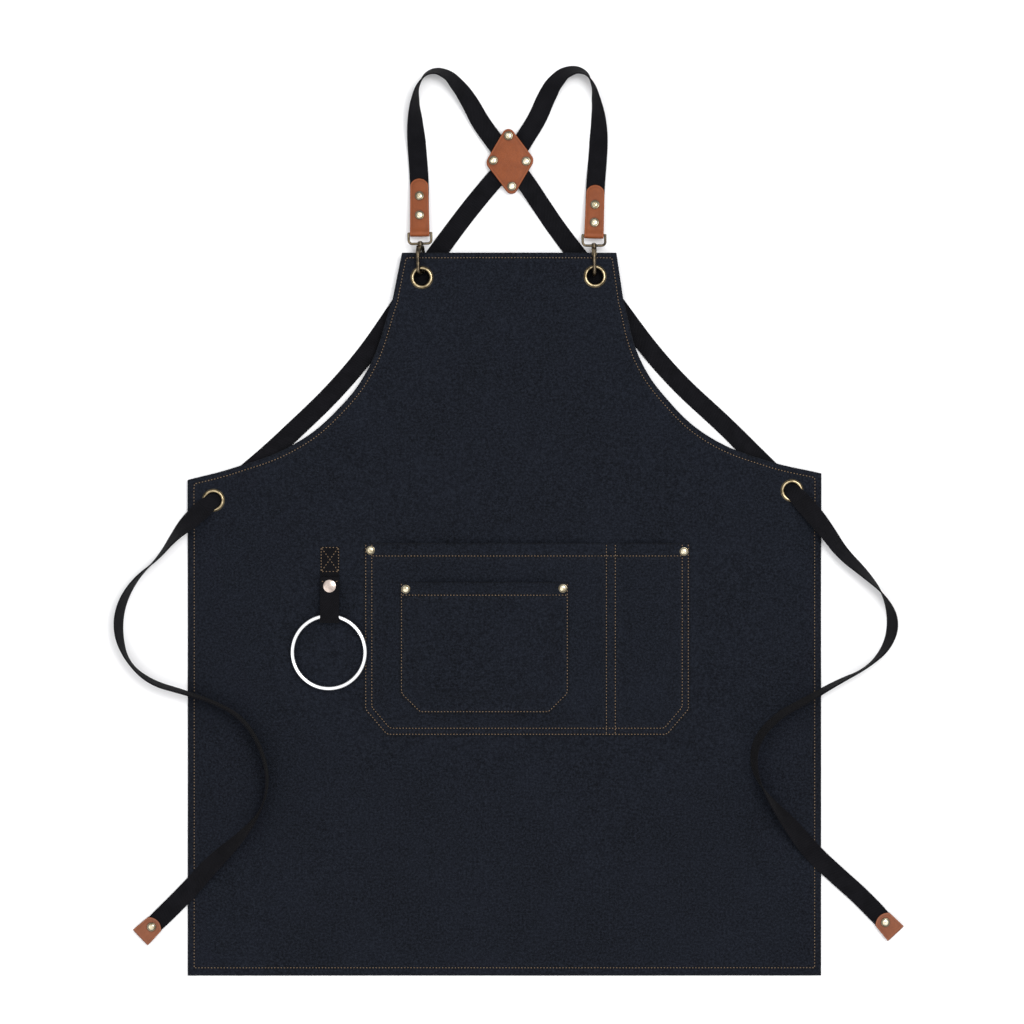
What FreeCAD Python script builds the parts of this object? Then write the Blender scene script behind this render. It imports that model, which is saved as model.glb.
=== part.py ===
"""Cross-back bib apron in denim, laid out flat with its webbing straps, in millimetres.

The surface it lies on is z = 0, +Y runs from the hem to the bib and +Z is the wearer's outside.
"""
import FreeCAD, Part
import math
import os

Vector = FreeCAD.Vector

# ---- driving dimensions ------------------------------------------------------------------
# denim body
HEM_Y = -488.3                  # bottom edge of the skirt
SKIRT_LEFT_X = -340.0
SKIRT_RIGHT_X = 340.0
BIB_TOP_Y = 287.0
DENIM = 1.2                     # thickness of the panel
POCKET_DENIM = 1.0              # thickness of a pocket's cloth
HIP_LIFT = 3.4                  # underside of the panel at the side grommets
BIB_LIFT = 9.9                  # underside of the panel at the bib grommets
# left and right edges from the bib's top corner down to the hip corner
LEFT_EDGE = [(-109.7, 287.0), (-119.8, 237.0)]
LEFT_ARMHOLE = [(-119.8, 237.0), (-146.6, 162.0), (-179.0, 119.0), (-224.0, 83.0),
                (-290.0, 57.0), (-340.0, 43.8)]
RIGHT_EDGE = [(119.9, 287.0), (127.3, 237.0)]
RIGHT_ARMHOLE = [(127.3, 237.0), (145.6, 172.7), (174.6, 130.0), (219.0, 90.5),
                 (282.0, 64.5), (340.0, 50.8)]
# height of the panel's underside against y
PANEL_RISE = [(HEM_Y - 5, 0.0), (-16.0, 0.0), (8.0, HIP_LIFT), (60.0, HIP_LIFT),
              (240.0, BIB_LIFT), (BIB_TOP_Y + 5, BIB_LIFT)]
# webbing
WEB_WIDTH = 20.0
WEB = 1.6                       # thickness of the webbing
# grommets
EYELET_HOLE_R = 8.0
EYELET_BARREL_R = 9.1
EYELET_OUTER_R = 12.2
GROMMETS = {"left_bib": (-88.4, 260.4), "right_bib": (97.0, 261.7),
            "left_side": (-312.2, 22.0), "right_side": (308.4, 32.4)}
# leather
LEATHER = 1.5
TAB_WIDTH = 20.9
TAB_TAPER = 1.4                 # the strap end is this much narrower
TAB_END_R = 7.0
TAB_EYE_GAP = 0.5               # between the D-loop's bar and the leather round it
TAB_SLACK = 0.3                 # leather stands off the webbing by half of this on each side
# rivets
RIVET_CAP_R = 4.75
RIVET_CAP_RISE = 1.4
RIVET_SHANK_R = 1.5
RIVET_BACK = 0.8                # thickness of a rivet's back plate
RIVET_PANEL_RECESS = 0.6        # a pocket rivet's back plate lies in the thickness of the denim
FIT = 0.1                       # radial gap round a shank
# swivel snap hooks, measured past the D-loop's crossbar and from the hook's axis
WIRE_R = 1.9                    # hook wire
LOOP_WIRE_R = 1.35              # D-loop wire
LOOP_WIDTH = 24.2               # between the centres of the D-loop's sides
LOOP_HEIGHT = 11.0              # from the D-loop's bar to its crossbar
LOOP_CORNER = 4.0
LOOP_CENTRE_Z = 10.5            # height of the hook's axis over the surface
BOSS_R = 2.9                    # boss on the crossbar
BOSS_LENGTH = 3.2
SWIVEL_R = 1.6
SWIVEL_HEAD_R = 2.3
COLLAR_R = 2.7
HOOK_HALF = 6.6                 # hook's axis to the centre of either arm
HOOK_REACH = 31.0               # crossbar to the centre of the hook's far end
HOOK_CORNER = 3.1
NOSE = 19.0                     # crossbar to the end of the hook's nose
EAR_WIDTH = 5.2
GATE_WIDTH = 2.0
GATE_PIN = (8.0, 4.4)           # distance past the crossbar and from the axis
GATE_PIN_R = 0.9
SPRING_LEAF = 0.35
TAB_TILT = -6.5                 # degrees, the tab's strap end is down on the surface
# bar, yaw of loop and hook, turn of the hook about its axis, yaw and length of the tab, its rivets
HOOK_SETS = {
    "left": {"bar": (-90.6, 307.6), "yaw": 2.0, "turn": 155.0, "tab_yaw": 0.8, "tab": 59.6,
             "rivets": (19.6, 40.6)},
    "right": {"bar": (95.8, 305.6), "yaw": 0.5, "turn": 180.0, "tab_yaw": -2.0, "tab": 54.6,
              "rivets": (13.6, 33.1)},
}
# towel ring on its webbing tab
RING_R = 39.0                   # to the middle of the wire
RING_WIRE_R = 2.5
RING_CENTRE = (-188.4, -141.0)
RING_TILT = 1.5                 # degrees, the far side down on the denim
RING_Z = 6.1
RING_TAB_X = -187.4
RING_TAB_WIDTH = 20.0
RING_TAB_WEB = 1.5
RING_TAB_TOP_Y = -28.0
RING_TAB_BACK_Z = 1.7           # underside of the loose part of the back layer
RING_FOLD_Y = -104.4
RING_FOLD_R = 4.35              # to the middle of the webbing round the fold
FOLD_Z = RING_TAB_BACK_Z + RING_TAB_WEB / 2 + RING_FOLD_R
SNAP_Y = -70.0
SNAP_GAP = 3.3                  # between the two layers at the snap
FLAP_Z = RING_TAB_BACK_Z + RING_TAB_WEB + SNAP_GAP + RING_TAB_WEB / 2
SNAP_SHANK_R = 1.6
SNAP_CAP_R = 6.7
SNAP_CAP_RISE = 1.8
FLAP_END_Y = -60.4
# pockets: left, right, mouth and bottom edges, chamfer, flat sewn border, run of the puff
LARGE = {"left": -150.9, "right": 199.3, "top": -23.9, "bottom": -231.2, "chamfer": (24.0, 28.0),
         "border": 14.0, "puff": 5.0, "slope": 12.0}
DIVIDER = (109.4, 119.0)
SMALL = {"left": -112.3, "right": 69.3, "top": -65.8, "bottom": -206.5, "chamfer": (21.0, 21.0),
         "border": 12.0, "puff": 5.0, "slope": 12.0}
POCKET_RIVETS_LARGE = [(-143.8, -31.7), (192.6, -33.0)]
POCKET_RIVETS_SMALL = [(-105.8, -73.2), (62.6, -72.4)]
# leather patch where the straps cross
PATCH_CENTRE = (5.9, 385.4)
PATCH_HALF_LENGTH = 34.6
PATCH_HALF_WIDTH = 25.1
PATCH_TIP_R = 6.5
PATCH_SIDE_R = 7.5
PATCH_YAW = 3.4
PATCH_RIVETS = [(4.3, 412.4), (23.2, 385.2), (-12.0, 386.1), (7.9, 358.4)]
PATCH_BACK_Z = 0.9
PATCH_FRONT_Z = PATCH_BACK_Z + LEATHER + 2 * WEB + 1.0

# ---- strap routes: x, y, height of what lies under the strap, roll about its length -------
FROM_LEFT_HOOK = [
    (-94.2, 404.0, 0.0, 10), (-95.8, 428.0, 0.0, 38), (-95.6, 450.0, 0.0, 68), (-90.6, 469.5, 0.0, 92),
    (-79.0, 480.6, 0.0, 110), (-64.0, 479.0, 0.0, 124), (-49.5, 466.0, 0.0, 142), (-37.5, 449.0, 0.0, 158),
    (-25.0, 427.0, 1.2, 174), (-12.5, 409.3, 4.3, 180), (5.9, 385.4, 4.3, 180), (24.0, 361.2, 4.3, 180),
    (39.5, 338.5, 0.8, 180), (57.5, 312.3, 0.1, 180), (76.8, 289.0, 0.1, 180), (105.0, 251.5, 0.1, 180),
    (140.0, 206.0, 0.1, 180), (174.6, 162.0, 0.1, 180), (207.9, 129.0, 0.1, 180), (243.0, 96.0, 0.1, 180),
    (279.0, 60.5, 0.1, 180), (295.0, 45.2, 0.1, 180)]
FROM_RIGHT_HOOK = [
    (100.9, 404.0, 0.0, -12), (101.0, 428.0, 0.0, -40), (98.4, 450.0, 0.0, -66), (93.2, 470.0, 0.0, -90),
    (84.0, 480.8, 0.0, -112), (69.0, 481.2, 0.0, -130), (55.4, 471.0, 0.0, -150), (46.0, 456.0, 0.0, -168),
    (35.0, 432.0, 1.0, -180), (22.6, 411.3, 2.5, -180), (5.9, 385.4, 2.5, -180), (-14.2, 362.2, 2.5, -180),
    (-33.6, 339.0, 0.6, -180), (-54.2, 312.3, 0.1, -180), (-70.4, 290.0, 0.1, -180),
    (-98.5, 251.0, 0.1, -180), (-130.0, 206.0, 0.1, -180), (-162.7, 161.9, 0.1, -180),
    (-195.0, 128.5, 0.1, -180),
    (-237.0, 86.7, 0.1, -180), (-281.0, 48.0, 0.1, -180), (-297.5, 34.4, 0.1, -180)]
# through the side grommets, as distance past the hole's centre, height of the webbing's middle, width
THROUGH_GROMMET = [(-11.0, 0.95, 18.0), (-6.5, 1.0, 14.6), (-4.0, 1.4, 12.4), (0.8, 5.0, 13.2),
                   (6.0, 7.5, 16.0), (12.5, 8.2, 19.5)]
GROMMET_HEADING = {"left_side": -139.0, "right_side": -48.5}
# waist ties, free from the grommets on; the first point is where the webbing leaves the grommet
LEFT_TIE = [
    (-321.6, 13.8, 7.4, 0), (-337.5, -0.5, 4.6, 24), (-353.5, -17.0, 2.4, 62), (-371.0, -40.5, 0.2, 80),
    (-395.0, -61.5, 0.0, 97), (-411.5, -90.0, 0.0, 111), (-414.5, -121.0, 0.0, 111),
    (-403.5, -152.5, 0.0, 86), (-378.5, -173.5, 0.2, 102), (-345.0, -183.0, 1.5, 112),
    (-312.0, -193.5, 1.5, 96), (-281.0, -210.0, 1.5, 108), (-260.5, -241.5, 1.5, 104),
    (-252.0, -279.0, 1.5, 104), (-260.5, -312.0, 1.5, 92), (-283.0, -340.0, 1.5, 60),
    (-313.0, -367.0, 1.5, 25), (-345.0, -403.5, 1.5, 4), (-373.3, -430.6, 1.6, 0)]
RIGHT_TIE = [
    (316.7, 23.0, 7.4, 0), (331.5, 6.5, 5.2, -8), (346.0, -12.0, 2.8, -28), (362.0, -35.0, 0.4, -42),
    (385.5, -56.0, 0.0, -60), (407.0, -79.0, 0.0, -88), (417.6, -107.0, 0.0, -122),
    (411.0, -134.5, 0.0, -108), (388.5, -158.0, 0.0, -84), (357.0, -172.5, 1.0, -98),
    (326.0, -190.5, 1.5, -104), (291.5, -209.0, 1.5, -106), (268.0, -236.0, 1.5, -108),
    (266.5, -268.0, 1.5, -104), (283.0, -298.0, 1.5, -78), (306.5, -326.0, 1.5, -38),
    (330.0, -356.0, 1.5, -2), (360.0, -383.5, 1.5, 0), (386.0, -406.5, 1.5, 0), (403.6, -425.4, 1.6, 0)]
TIP_LENGTH = 26.0
TIP_WIDTH = (20.6, 23.4)        # at the webbing and at the folded end
TIP_END_R = 5.0
TIP_LEATHER = 1.3
TIP_WEB_Z = 2.9                 # middle of the webbing inside a tip
TIP_FOLD = TIP_LENGTH - 4       # from where the tip starts to the middle of its fold
TIP_RIVET = 7.2                 # from where the tip starts
TIE_ROUTES = (("left", LEFT_TIE), ("right", RIGHT_TIE))
ARC_SHARE = 0.45                # of the shorter run taken up by a tangent arc
STATION = 9.0                   # spacing of a ribbon's sections

NODES = []
TIDIED = ("left_snap_hook", "right_snap_hook", "left_d_loop", "right_d_loop")


# ---- helpers ------------------------------------------------------------------------------
def save(node, shape):
    """Write one sub-part and report how sound it is."""
    shape = shape.removeSplitter() if node in TIDIED else shape
    shape.exportStep("parts/" + node + ".step")
    NODES.append(node)
    print("%-26s solids %d valid %s volume %9.1f" % (
        node, len(shape.Solids), shape.isValid(), shape.Volume))


def prism(points, low, high):
    """Upright prism over a closed outline in the XY plane."""
    corners = [Vector(x, y, low) for x, y in points]
    face = Part.Face(Part.makePolygon(corners + corners[:1]))
    return face.extrude(Vector(0, 0, high - low))


def profile_x(points, x_low, x_high):
    """Solid with an outline in the YZ plane, drawn out along X."""
    corners = [Vector(x_low, y, z) for y, z in points]
    face = Part.Face(Part.makePolygon(corners + corners[:1]))
    return face.extrude(Vector(x_high - x_low, 0, 0))


def profile_y(points, y_low, y_high):
    """Solid with an outline in the XZ plane, drawn out along Y."""
    corners = [Vector(x, y_low, z) for x, z in points]
    face = Part.Face(Part.makePolygon(corners + corners[:1]))
    return face.extrude(Vector(0, y_high - y_low, 0))


def turned(points):
    """Solid of revolution about Z from a closed outline of (radius, height) pairs."""
    corners = [Vector(r, 0, z) for r, z in points]
    face = Part.Face(Part.makePolygon(corners + corners[:1]))
    return face.revolve(Vector(0, 0, 0), Vector(0, 0, 1), 360)


def domed(radius, base, rise, bore_r=0.0, bore_depth=0.0):
    """Shallow round cap: a rim, a spherical crown and a blind hole from below."""
    rim = base + 0.4 * rise
    crown_rise = 0.6 * rise
    sphere_r = (radius ** 2 + crown_rise ** 2) / (2 * crown_rise)
    half_angle = math.asin(radius / sphere_r) / 2
    half_way = Vector(sphere_r * math.sin(half_angle), 0,
                      base + rise - sphere_r * (1 - math.cos(half_angle)))
    crown = Part.Arc(Vector(radius, 0, rim), half_way, Vector(0, 0, base + rise)).toShape()
    sides = Part.makePolygon([Vector(0, 0, base + rise), Vector(0, 0, base), Vector(radius, 0, base),
                              Vector(radius, 0, rim)]).Edges
    face = Part.Face(Part.Wire(sides + [crown]))
    cap = face.revolve(Vector(0, 0, 0), Vector(0, 0, 1), 360)
    if bore_depth:
        cap = cap.cut(Part.makeCylinder(bore_r, bore_depth, Vector(0, 0, base)))
    return cap


def moved(shape, x, y, z, yaw=0.0, tilt=0.0):
    """Copy of a shape, tilted about its own X, turned about Z and set down at a point."""
    spin = FreeCAD.Rotation(Vector(0, 0, 1), yaw).multiply(FreeCAD.Rotation(Vector(1, 0, 0), tilt))
    result = shape.copy()
    result.Placement = FreeCAD.Placement(Vector(x, y, z), spin).multiply(result.Placement)
    return result


def rod(edges, radius):
    """Round rod along a chain of tangent edges."""
    path = Part.Wire(edges)
    first = path.OrderedEdges[0]
    start = first.valueAt(first.FirstParameter)
    heading = first.tangentAt(first.FirstParameter)
    circle = Part.Wire(Part.makeCircle(radius, start, heading))
    return path.makePipe(Part.Face(circle))


def under_panel(y):
    """Height of the panel's underside at y."""
    for (y0, z0), (y1, z1) in zip(PANEL_RISE, PANEL_RISE[1:]):
        if y <= y1:
            return z0 + (z1 - z0) * (y - y0) / (y1 - y0)
    return PANEL_RISE[-1][1]


# ---- ribbons of webbing -------------------------------------------------------------------
def section(centre, heading, roll, width, thickness):
    """Rectangular cross-section of webbing, square to its heading and rolled about it."""
    side = Vector(0, 0, 1).cross(heading).normalize()
    above = heading.cross(side).normalize()
    angle = math.radians(roll)
    across = side * math.cos(angle) + above * math.sin(angle)
    normal = heading.cross(across).normalize()
    half_across = across * (width / 2)
    half_normal = normal * (thickness / 2)
    corners = [centre - half_across - half_normal, centre + half_across - half_normal,
               centre + half_across + half_normal, centre - half_across + half_normal]
    return Part.makePolygon(corners + corners[:1])


def ribbon(stations, thickness):
    """Closed solid through stations of (centre, heading, roll, width)."""
    wires = [section(centre, heading, roll, width, thickness) for centre, heading, roll, width in stations]
    return Part.makeLoft(wires, True, True)


def eased(share):
    return share * share * (3 - 2 * share)


def curved_stations(points, spacing):
    """Sections along a smooth curve through points of (centre, roll, width)."""
    centres = [centre for centre, roll, width in points]
    lengths = [0.0]
    for a, b in zip(centres, centres[1:]):
        lengths.append(lengths[-1] + a.distanceToPoint(b))
    curve = Part.BSplineCurve()
    curve.interpolate(Points=centres, Parameters=lengths)
    stations = []
    for i in range(len(points) - 1):
        steps = max(1, round((lengths[i + 1] - lengths[i]) / spacing))
        for k in range(steps):
            stations.append(blended_station(curve, points, lengths, i, k / steps))
    stations.append(blended_station(curve, points, lengths, len(points) - 2, 1.0))
    last = stations[-1]
    final_run = (centres[-1] - centres[-2]).normalize()
    stations[-1] = (last[0], final_run, last[2], last[3])
    return stations


def blended_station(curve, points, lengths, i, share):
    at = lengths[i] + share * (lengths[i + 1] - lengths[i])
    heading = Vector(*curve.tangent(at)[0])
    roll = points[i][1] + share * (points[i + 1][1] - points[i][1])
    width = points[i][2] + eased(share) * (points[i + 1][2] - points[i][2])
    centre = curve.value(at)
    centre.z = max(centre.z, half_height(roll))
    return centre, heading, roll, width


def half_height(roll):
    """From the middle of rolled webbing down to its lower face or edge."""
    angle = math.radians(roll)
    return WEB_WIDTH / 2 * abs(math.sin(angle)) + WEB / 2 * abs(math.cos(angle))


def laid(x, y, floor, roll):
    """Middle of webbing that touches the height floor with its lower face or edge."""
    return Vector(x, y, floor + half_height(roll))


def rounded_route(points):
    """Straight runs joined by tangent arcs; gives the edges and the radius of each arc."""
    edges = []
    radii = []
    start = points[0]
    for before, corner, after in zip(points, points[1:], points[2:]):
        into = corner - before
        out = after - corner
        turn = into.getAngle(out)
        cut = ARC_SHARE * min(into.Length, out.Length)
        radius = cut / math.tan(turn / 2)
        into.normalize()
        out.normalize()
        inward = (out - into).normalize()
        middle = corner + inward * (radius / math.cos(turn / 2) - radius)
        arc_start = corner - into * cut
        arc_end = corner + out * cut
        edges.append(Part.LineSegment(start, arc_start).toShape())
        edges.append(Part.Arc(arc_start, middle, arc_end).toShape())
        radii.append(radius)
        start = arc_end
    edges.append(Part.LineSegment(start, points[-1]).toShape())
    return edges, radii


def route_stations(route, width):
    """Ribbon sections along straight runs and tangent arcs, the roll turning as the points say."""
    points = [laid(*entry) for entry in route]
    edges, radii = rounded_route(points)
    stations = []
    for index, edge in enumerate(edges):
        is_arc = index % 2 == 1
        steps = 4 if is_arc else 1
        corner = (index + 1) // 2
        for k in range(steps + 1 if edge is edges[-1] else steps):
            share = k / steps
            at = edge.FirstParameter + share * (edge.LastParameter - edge.FirstParameter)
            place = corner + (share - 0.5) * 2 * ARC_SHARE if is_arc else corner + ARC_SHARE
            if index == 0:
                place = 0.0
            if edge is edges[-1] and k == steps:
                place = len(route) - 1
            low = min(int(place), len(route) - 2)
            roll = route[low][3] + (place - low) * (route[low + 1][3] - route[low][3])
            floor = route[low][2] + (place - low) * (route[low + 1][2] - route[low][2])
            centre = edge.valueAt(at)
            centre.z = max(centre.z, floor + half_height(roll))
            stations.append((centre, edge.tangentAt(at), roll, width))
    length = sum(edge.Length for edge in edges)
    return stations, length, radii


# ---- denim --------------------------------------------------------------------------------
def smooth_edge(points):
    curve = Part.BSplineCurve()
    curve.interpolate([Vector(x, y, 0) for x, y in points])
    return curve.toShape()


def apron_panel():
    """Bib and skirt cut from one piece of denim, lifted gently under the grommets."""
    outline = [
        Part.makeLine(Vector(*LEFT_EDGE[0], 0), Vector(*RIGHT_EDGE[0], 0)),
        Part.makeLine(Vector(*RIGHT_EDGE[0], 0), Vector(*RIGHT_EDGE[1], 0)),
        smooth_edge(RIGHT_ARMHOLE),
        Part.makeLine(Vector(*RIGHT_ARMHOLE[-1], 0), Vector(SKIRT_RIGHT_X, HEM_Y, 0)),
        Part.makeLine(Vector(SKIRT_RIGHT_X, HEM_Y, 0), Vector(SKIRT_LEFT_X, HEM_Y, 0)),
        Part.makeLine(Vector(SKIRT_LEFT_X, HEM_Y, 0), Vector(*LEFT_ARMHOLE[-1], 0)),
        smooth_edge(LEFT_ARMHOLE[::-1]),
        Part.makeLine(Vector(*LEFT_EDGE[1], 0), Vector(*LEFT_EDGE[0], 0)),
    ]
    cut_shape = Part.Face(Part.Wire(outline)).extrude(Vector(0, 0, 30))
    cut_shape.translate(Vector(0, 0, -5))
    lower = list(PANEL_RISE)
    upper = [(y, z + DENIM) for y, z in reversed(PANEL_RISE)]
    cloth = profile_x(lower + upper, SKIRT_LEFT_X - 5, SKIRT_RIGHT_X + 5)
    panel = cloth.common(cut_shape)
    for x, y in GROMMETS.values():
        panel = panel.cut(Part.makeCylinder(EYELET_BARREL_R + FIT, 20, Vector(x, y, 0)))
    panel = drilled(panel, POCKET_RIVETS_LARGE, RIVET_SHANK_R + FIT, -1, 5)
    return drilled(panel, POCKET_RIVETS_LARGE, RIVET_CAP_R, 0, RIVET_PANEL_RECESS)


def puff_profile(low, high, spec, base, lift, closed_high=True):
    """Corners of the line under a puffed cloth: flat border, slope up, top, slope down, border."""
    border = spec["border"]
    slope = spec["slope"]
    corners = [(low, base), (low + border, base), (low + border + slope, base + lift)]
    if closed_high:
        corners += [(high - border - slope, base + lift), (high - border, base), (high, base)]
    else:
        corners += [(high, base + lift)]
    return corners


def closed_below(corners, depth=3.0):
    """Outline of the space under a line of corners."""
    floor = corners[0][1] - depth
    return corners + [(corners[-1][0], floor), (corners[0][0], floor)]


def raised(corners, thickness):
    return [(a, z + thickness) for a, z in corners]


def pocket_outline(spec):
    cut_x, cut_y = spec["chamfer"]
    return [(spec["left"], spec["top"]), (spec["left"], spec["bottom"] + cut_y),
            (spec["left"] + cut_x, spec["bottom"]), (spec["right"] - cut_x, spec["bottom"]),
            (spec["right"], spec["bottom"] + cut_y), (spec["right"], spec["top"])]


def pocket_cloth(spec, base, divider=None):
    """Pocket cloth sewn down on three sides and puffed open at its mouth."""
    lift = spec["puff"]
    left, right = spec["left"], spec["right"]
    if divider:
        left_part = puff_profile(left, divider[0] + 4, spec, base, lift)
        narrow = dict(spec, border=6.0)
        right_part = puff_profile(divider[1] - 4, right, narrow, base, lift)
        right_part[-2] = (right - spec["border"], base)
        right_part[-3] = (right - spec["border"] - spec["slope"], base + lift)
        across = left_part[:-1] + right_part[1:]
    else:
        across = puff_profile(left, right, spec, base, lift)
    along = puff_profile(spec["bottom"], spec["top"], spec, base, lift, closed_high=False)
    block = prism(pocket_outline(spec), base, base + lift + 5)
    y_low, y_high = spec["bottom"] - 1, spec["top"] + 1
    x_low, x_high = left - 1, right + 1
    outer = profile_y(closed_below(raised(across, POCKET_DENIM)), y_low, y_high)
    outer = outer.common(profile_x(closed_below(raised(along, POCKET_DENIM)), x_low, x_high))
    inner = profile_y(closed_below(across), y_low, y_high)
    inner = inner.common(profile_x(closed_below(along), x_low, x_high))
    return block.common(outer).cut(inner)


def drilled(shape, places, radius, low, high):
    for x, y in places:
        shape = shape.cut(Part.makeCylinder(radius, high - low, Vector(x, y, low)))
    return shape


# ---- grommets -----------------------------------------------------------------------------
def eyelet():
    """Flanged eyelet about the panel's mid-plane, its barrel rolled over the washer behind."""
    half = DENIM / 2
    outline = [(EYELET_HOLE_R, -1.9), (EYELET_HOLE_R, half + 0.7), (EYELET_HOLE_R + 0.5, half + 1.2),
               (EYELET_HOLE_R + 1.6, half + 1.5), (EYELET_HOLE_R + 2.9, half + 1.3),
               (EYELET_OUTER_R - 0.3, half + 0.7), (EYELET_OUTER_R, half), (EYELET_BARREL_R, half),
               (EYELET_BARREL_R, -half - 0.8), (EYELET_BARREL_R + 1.1, -half - 0.8),
               (EYELET_BARREL_R + 0.9, -1.9)]
    return turned(outline)


def washer():
    half = DENIM / 2
    return turned([(EYELET_BARREL_R + 0.08, -half), (EYELET_OUTER_R, -half),
                   (EYELET_OUTER_R - 0.2, -half - 0.8), (EYELET_BARREL_R + 0.08, -half - 0.8)])


# ---- rivets -------------------------------------------------------------------------------
def rivet_post(grip, back=RIVET_BACK, back_r=RIVET_CAP_R - 0.25):
    """Back plate below z = 0 and shank up through the grip into the cap."""
    plate = Part.makeCylinder(back_r, back, Vector(0, 0, -back))
    shank = Part.makeCylinder(RIVET_SHANK_R, grip + 0.7, Vector(0, 0, 0))
    return plate.fuse(shank)


def rivet_cap(grip):
    return domed(RIVET_CAP_R, grip, RIVET_CAP_RISE, RIVET_SHANK_R + 0.02, 0.75)


def rivet_group(name, places, grip, back=RIVET_BACK):
    """Write the posts and the caps of a set of rivets; a place is (x, y, z, yaw, tilt)."""
    posts = [moved(rivet_post(grip, back), *place) for place in places]
    caps = [moved(rivet_cap(grip), *place) for place in places]
    save(name + "_rivet_posts", Part.makeCompound(posts))
    save(name + "_rivet_caps", Part.makeCompound(caps))


# ---- leather ------------------------------------------------------------------------------
def folded_tab(length, inner_r, gap, leather, width_near, width_far, end_r):
    """Leather strip folded round a bar at y = 0, both layers running to +y with webbing between."""
    top = gap / 2
    bulge = 6.0
    outer_r = inner_r + leather
    outer_arc = Part.Arc(Vector(0, 0, outer_r), Vector(0, -outer_r, 0),
                         Vector(0, 0, -outer_r)).toShape()
    inner_arc = Part.Arc(Vector(0, 0, -inner_r), Vector(0, -inner_r, 0),
                         Vector(0, 0, inner_r)).toShape()
    lower = Part.makePolygon([Vector(0, 0, -outer_r), Vector(0, bulge, -top - leather),
                              Vector(0, length, -top - leather), Vector(0, length, -top),
                              Vector(0, bulge, -top), Vector(0, 0, -inner_r)]).Edges
    upper = Part.makePolygon([Vector(0, 0, inner_r), Vector(0, bulge, top), Vector(0, length, top),
                              Vector(0, length, top + leather), Vector(0, bulge, top + leather),
                              Vector(0, 0, outer_r)]).Edges
    face = Part.Face(Part.Wire([outer_arc] + lower + [inner_arc] + upper))
    strip = face.extrude(Vector(width_near + 4, 0, 0))
    strip.translate(Vector(-width_near / 2 - 2, 0, 0))
    near, far = width_near / 2, width_far / 2
    end_start = length - end_r
    slant = (near - far) / (length + outer_r)
    at_end = near - slant * (end_start + outer_r)
    outline = Part.makePolygon([Vector(-at_end, end_start, 0), Vector(-near, -outer_r - 1, 0),
                                Vector(near, -outer_r - 1, 0), Vector(at_end, end_start, 0)]).Edges
    crown = Part.Arc(Vector(at_end, end_start, 0), Vector(0, length - 0.02, 0),
                     Vector(-at_end, end_start, 0)).toShape()
    trim = Part.Face(Part.Wire(outline + [crown])).extrude(Vector(0, 0, 4 * outer_r))
    trim.translate(Vector(0, 0, -2 * outer_r))
    return strip.common(trim)


def patch_leather(z):
    """Rhombus with rounded tips."""
    yaw = math.radians(PATCH_YAW)
    tips = [(0, PATCH_HALF_LENGTH - PATCH_TIP_R, PATCH_TIP_R),
            (PATCH_HALF_WIDTH - PATCH_SIDE_R, 0, PATCH_SIDE_R),
            (0, PATCH_TIP_R - PATCH_HALF_LENGTH, PATCH_TIP_R),
            (PATCH_SIDE_R - PATCH_HALF_WIDTH, 0, PATCH_SIDE_R)]
    edges = []
    tangents = []
    for (x0, y0, r0), (x1, y1, r1) in zip(tips, tips[1:] + tips[:1]):
        distance = math.hypot(x1 - x0, y1 - y0)
        direction = math.atan2(y1 - y0, x1 - x0)
        outward = direction + math.pi / 2 + math.asin((r0 - r1) / distance)
        tangents.append((Vector(x0 + r0 * math.cos(outward), y0 + r0 * math.sin(outward), z),
                         Vector(x1 + r1 * math.cos(outward), y1 + r1 * math.sin(outward), z)))
    for i, (x, y, r) in enumerate(tips):
        arriving = tangents[i - 1][1]
        leaving = tangents[i][0]
        far = math.atan2(y, x)
        edges.append(Part.Arc(arriving, Vector(x + r * math.cos(far), y + r * math.sin(far), z),
                              leaving).toShape())
        edges.append(Part.makeLine(leaving, tangents[i][1]))
    plate = Part.Face(Part.Wire(edges)).extrude(Vector(0, 0, LEATHER))
    plate.rotate(Vector(0, 0, 0), Vector(0, 0, 1), math.degrees(yaw))
    plate.translate(Vector(*PATCH_CENTRE, 0))
    return plate


# ---- snap hooks, drawn with the D-loop's bar on X at y = 0 and the hook running to -y -------
def d_loop():
    """Square loop of wire with a drilled boss in its crossbar for the hook's swivel."""
    half = LOOP_WIDTH / 2
    corner = LOOP_CORNER
    foot = -LOOP_HEIGHT
    bend = corner * math.sqrt(0.5)
    sides = rod([
        Part.makeLine(Vector(-half, 0, 0), Vector(-half, foot + corner, 0)),
        Part.Arc(Vector(-half, foot + corner, 0),
                 Vector(-half + corner - bend, foot + corner - bend, 0),
                 Vector(-half + corner, foot, 0)).toShape(),
        Part.makeLine(Vector(-half + corner, foot, 0), Vector(half - corner, foot, 0)),
        Part.Arc(Vector(half - corner, foot, 0),
                 Vector(half - corner + bend, foot + corner - bend, 0),
                 Vector(half, foot + corner, 0)).toShape(),
        Part.makeLine(Vector(half, foot + corner, 0), Vector(half, 0, 0))], LOOP_WIRE_R)
    bar = Part.makeCylinder(LOOP_WIRE_R, LOOP_WIDTH, Vector(-half, 0, 0), Vector(1, 0, 0))
    shape = sides.fuse(bar)
    for x in (-half, half):
        shape = shape.fuse(Part.makeSphere(LOOP_WIRE_R, Vector(x, 0, 0)))
    along = Vector(0, -1, 0)
    boss_start = Vector(0, foot + BOSS_LENGTH / 2, 0)
    shape = shape.fuse(Part.makeCylinder(BOSS_R, BOSS_LENGTH, boss_start, along))
    hole_start = Vector(0, foot + BOSS_LENGTH / 2 + 1, 0)
    return shape.cut(Part.makeCylinder(SWIVEL_R + 0.05, BOSS_LENGTH + 2, hole_start, along))


def hook_y(past_crossbar):
    return -LOOP_HEIGHT - past_crossbar


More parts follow.
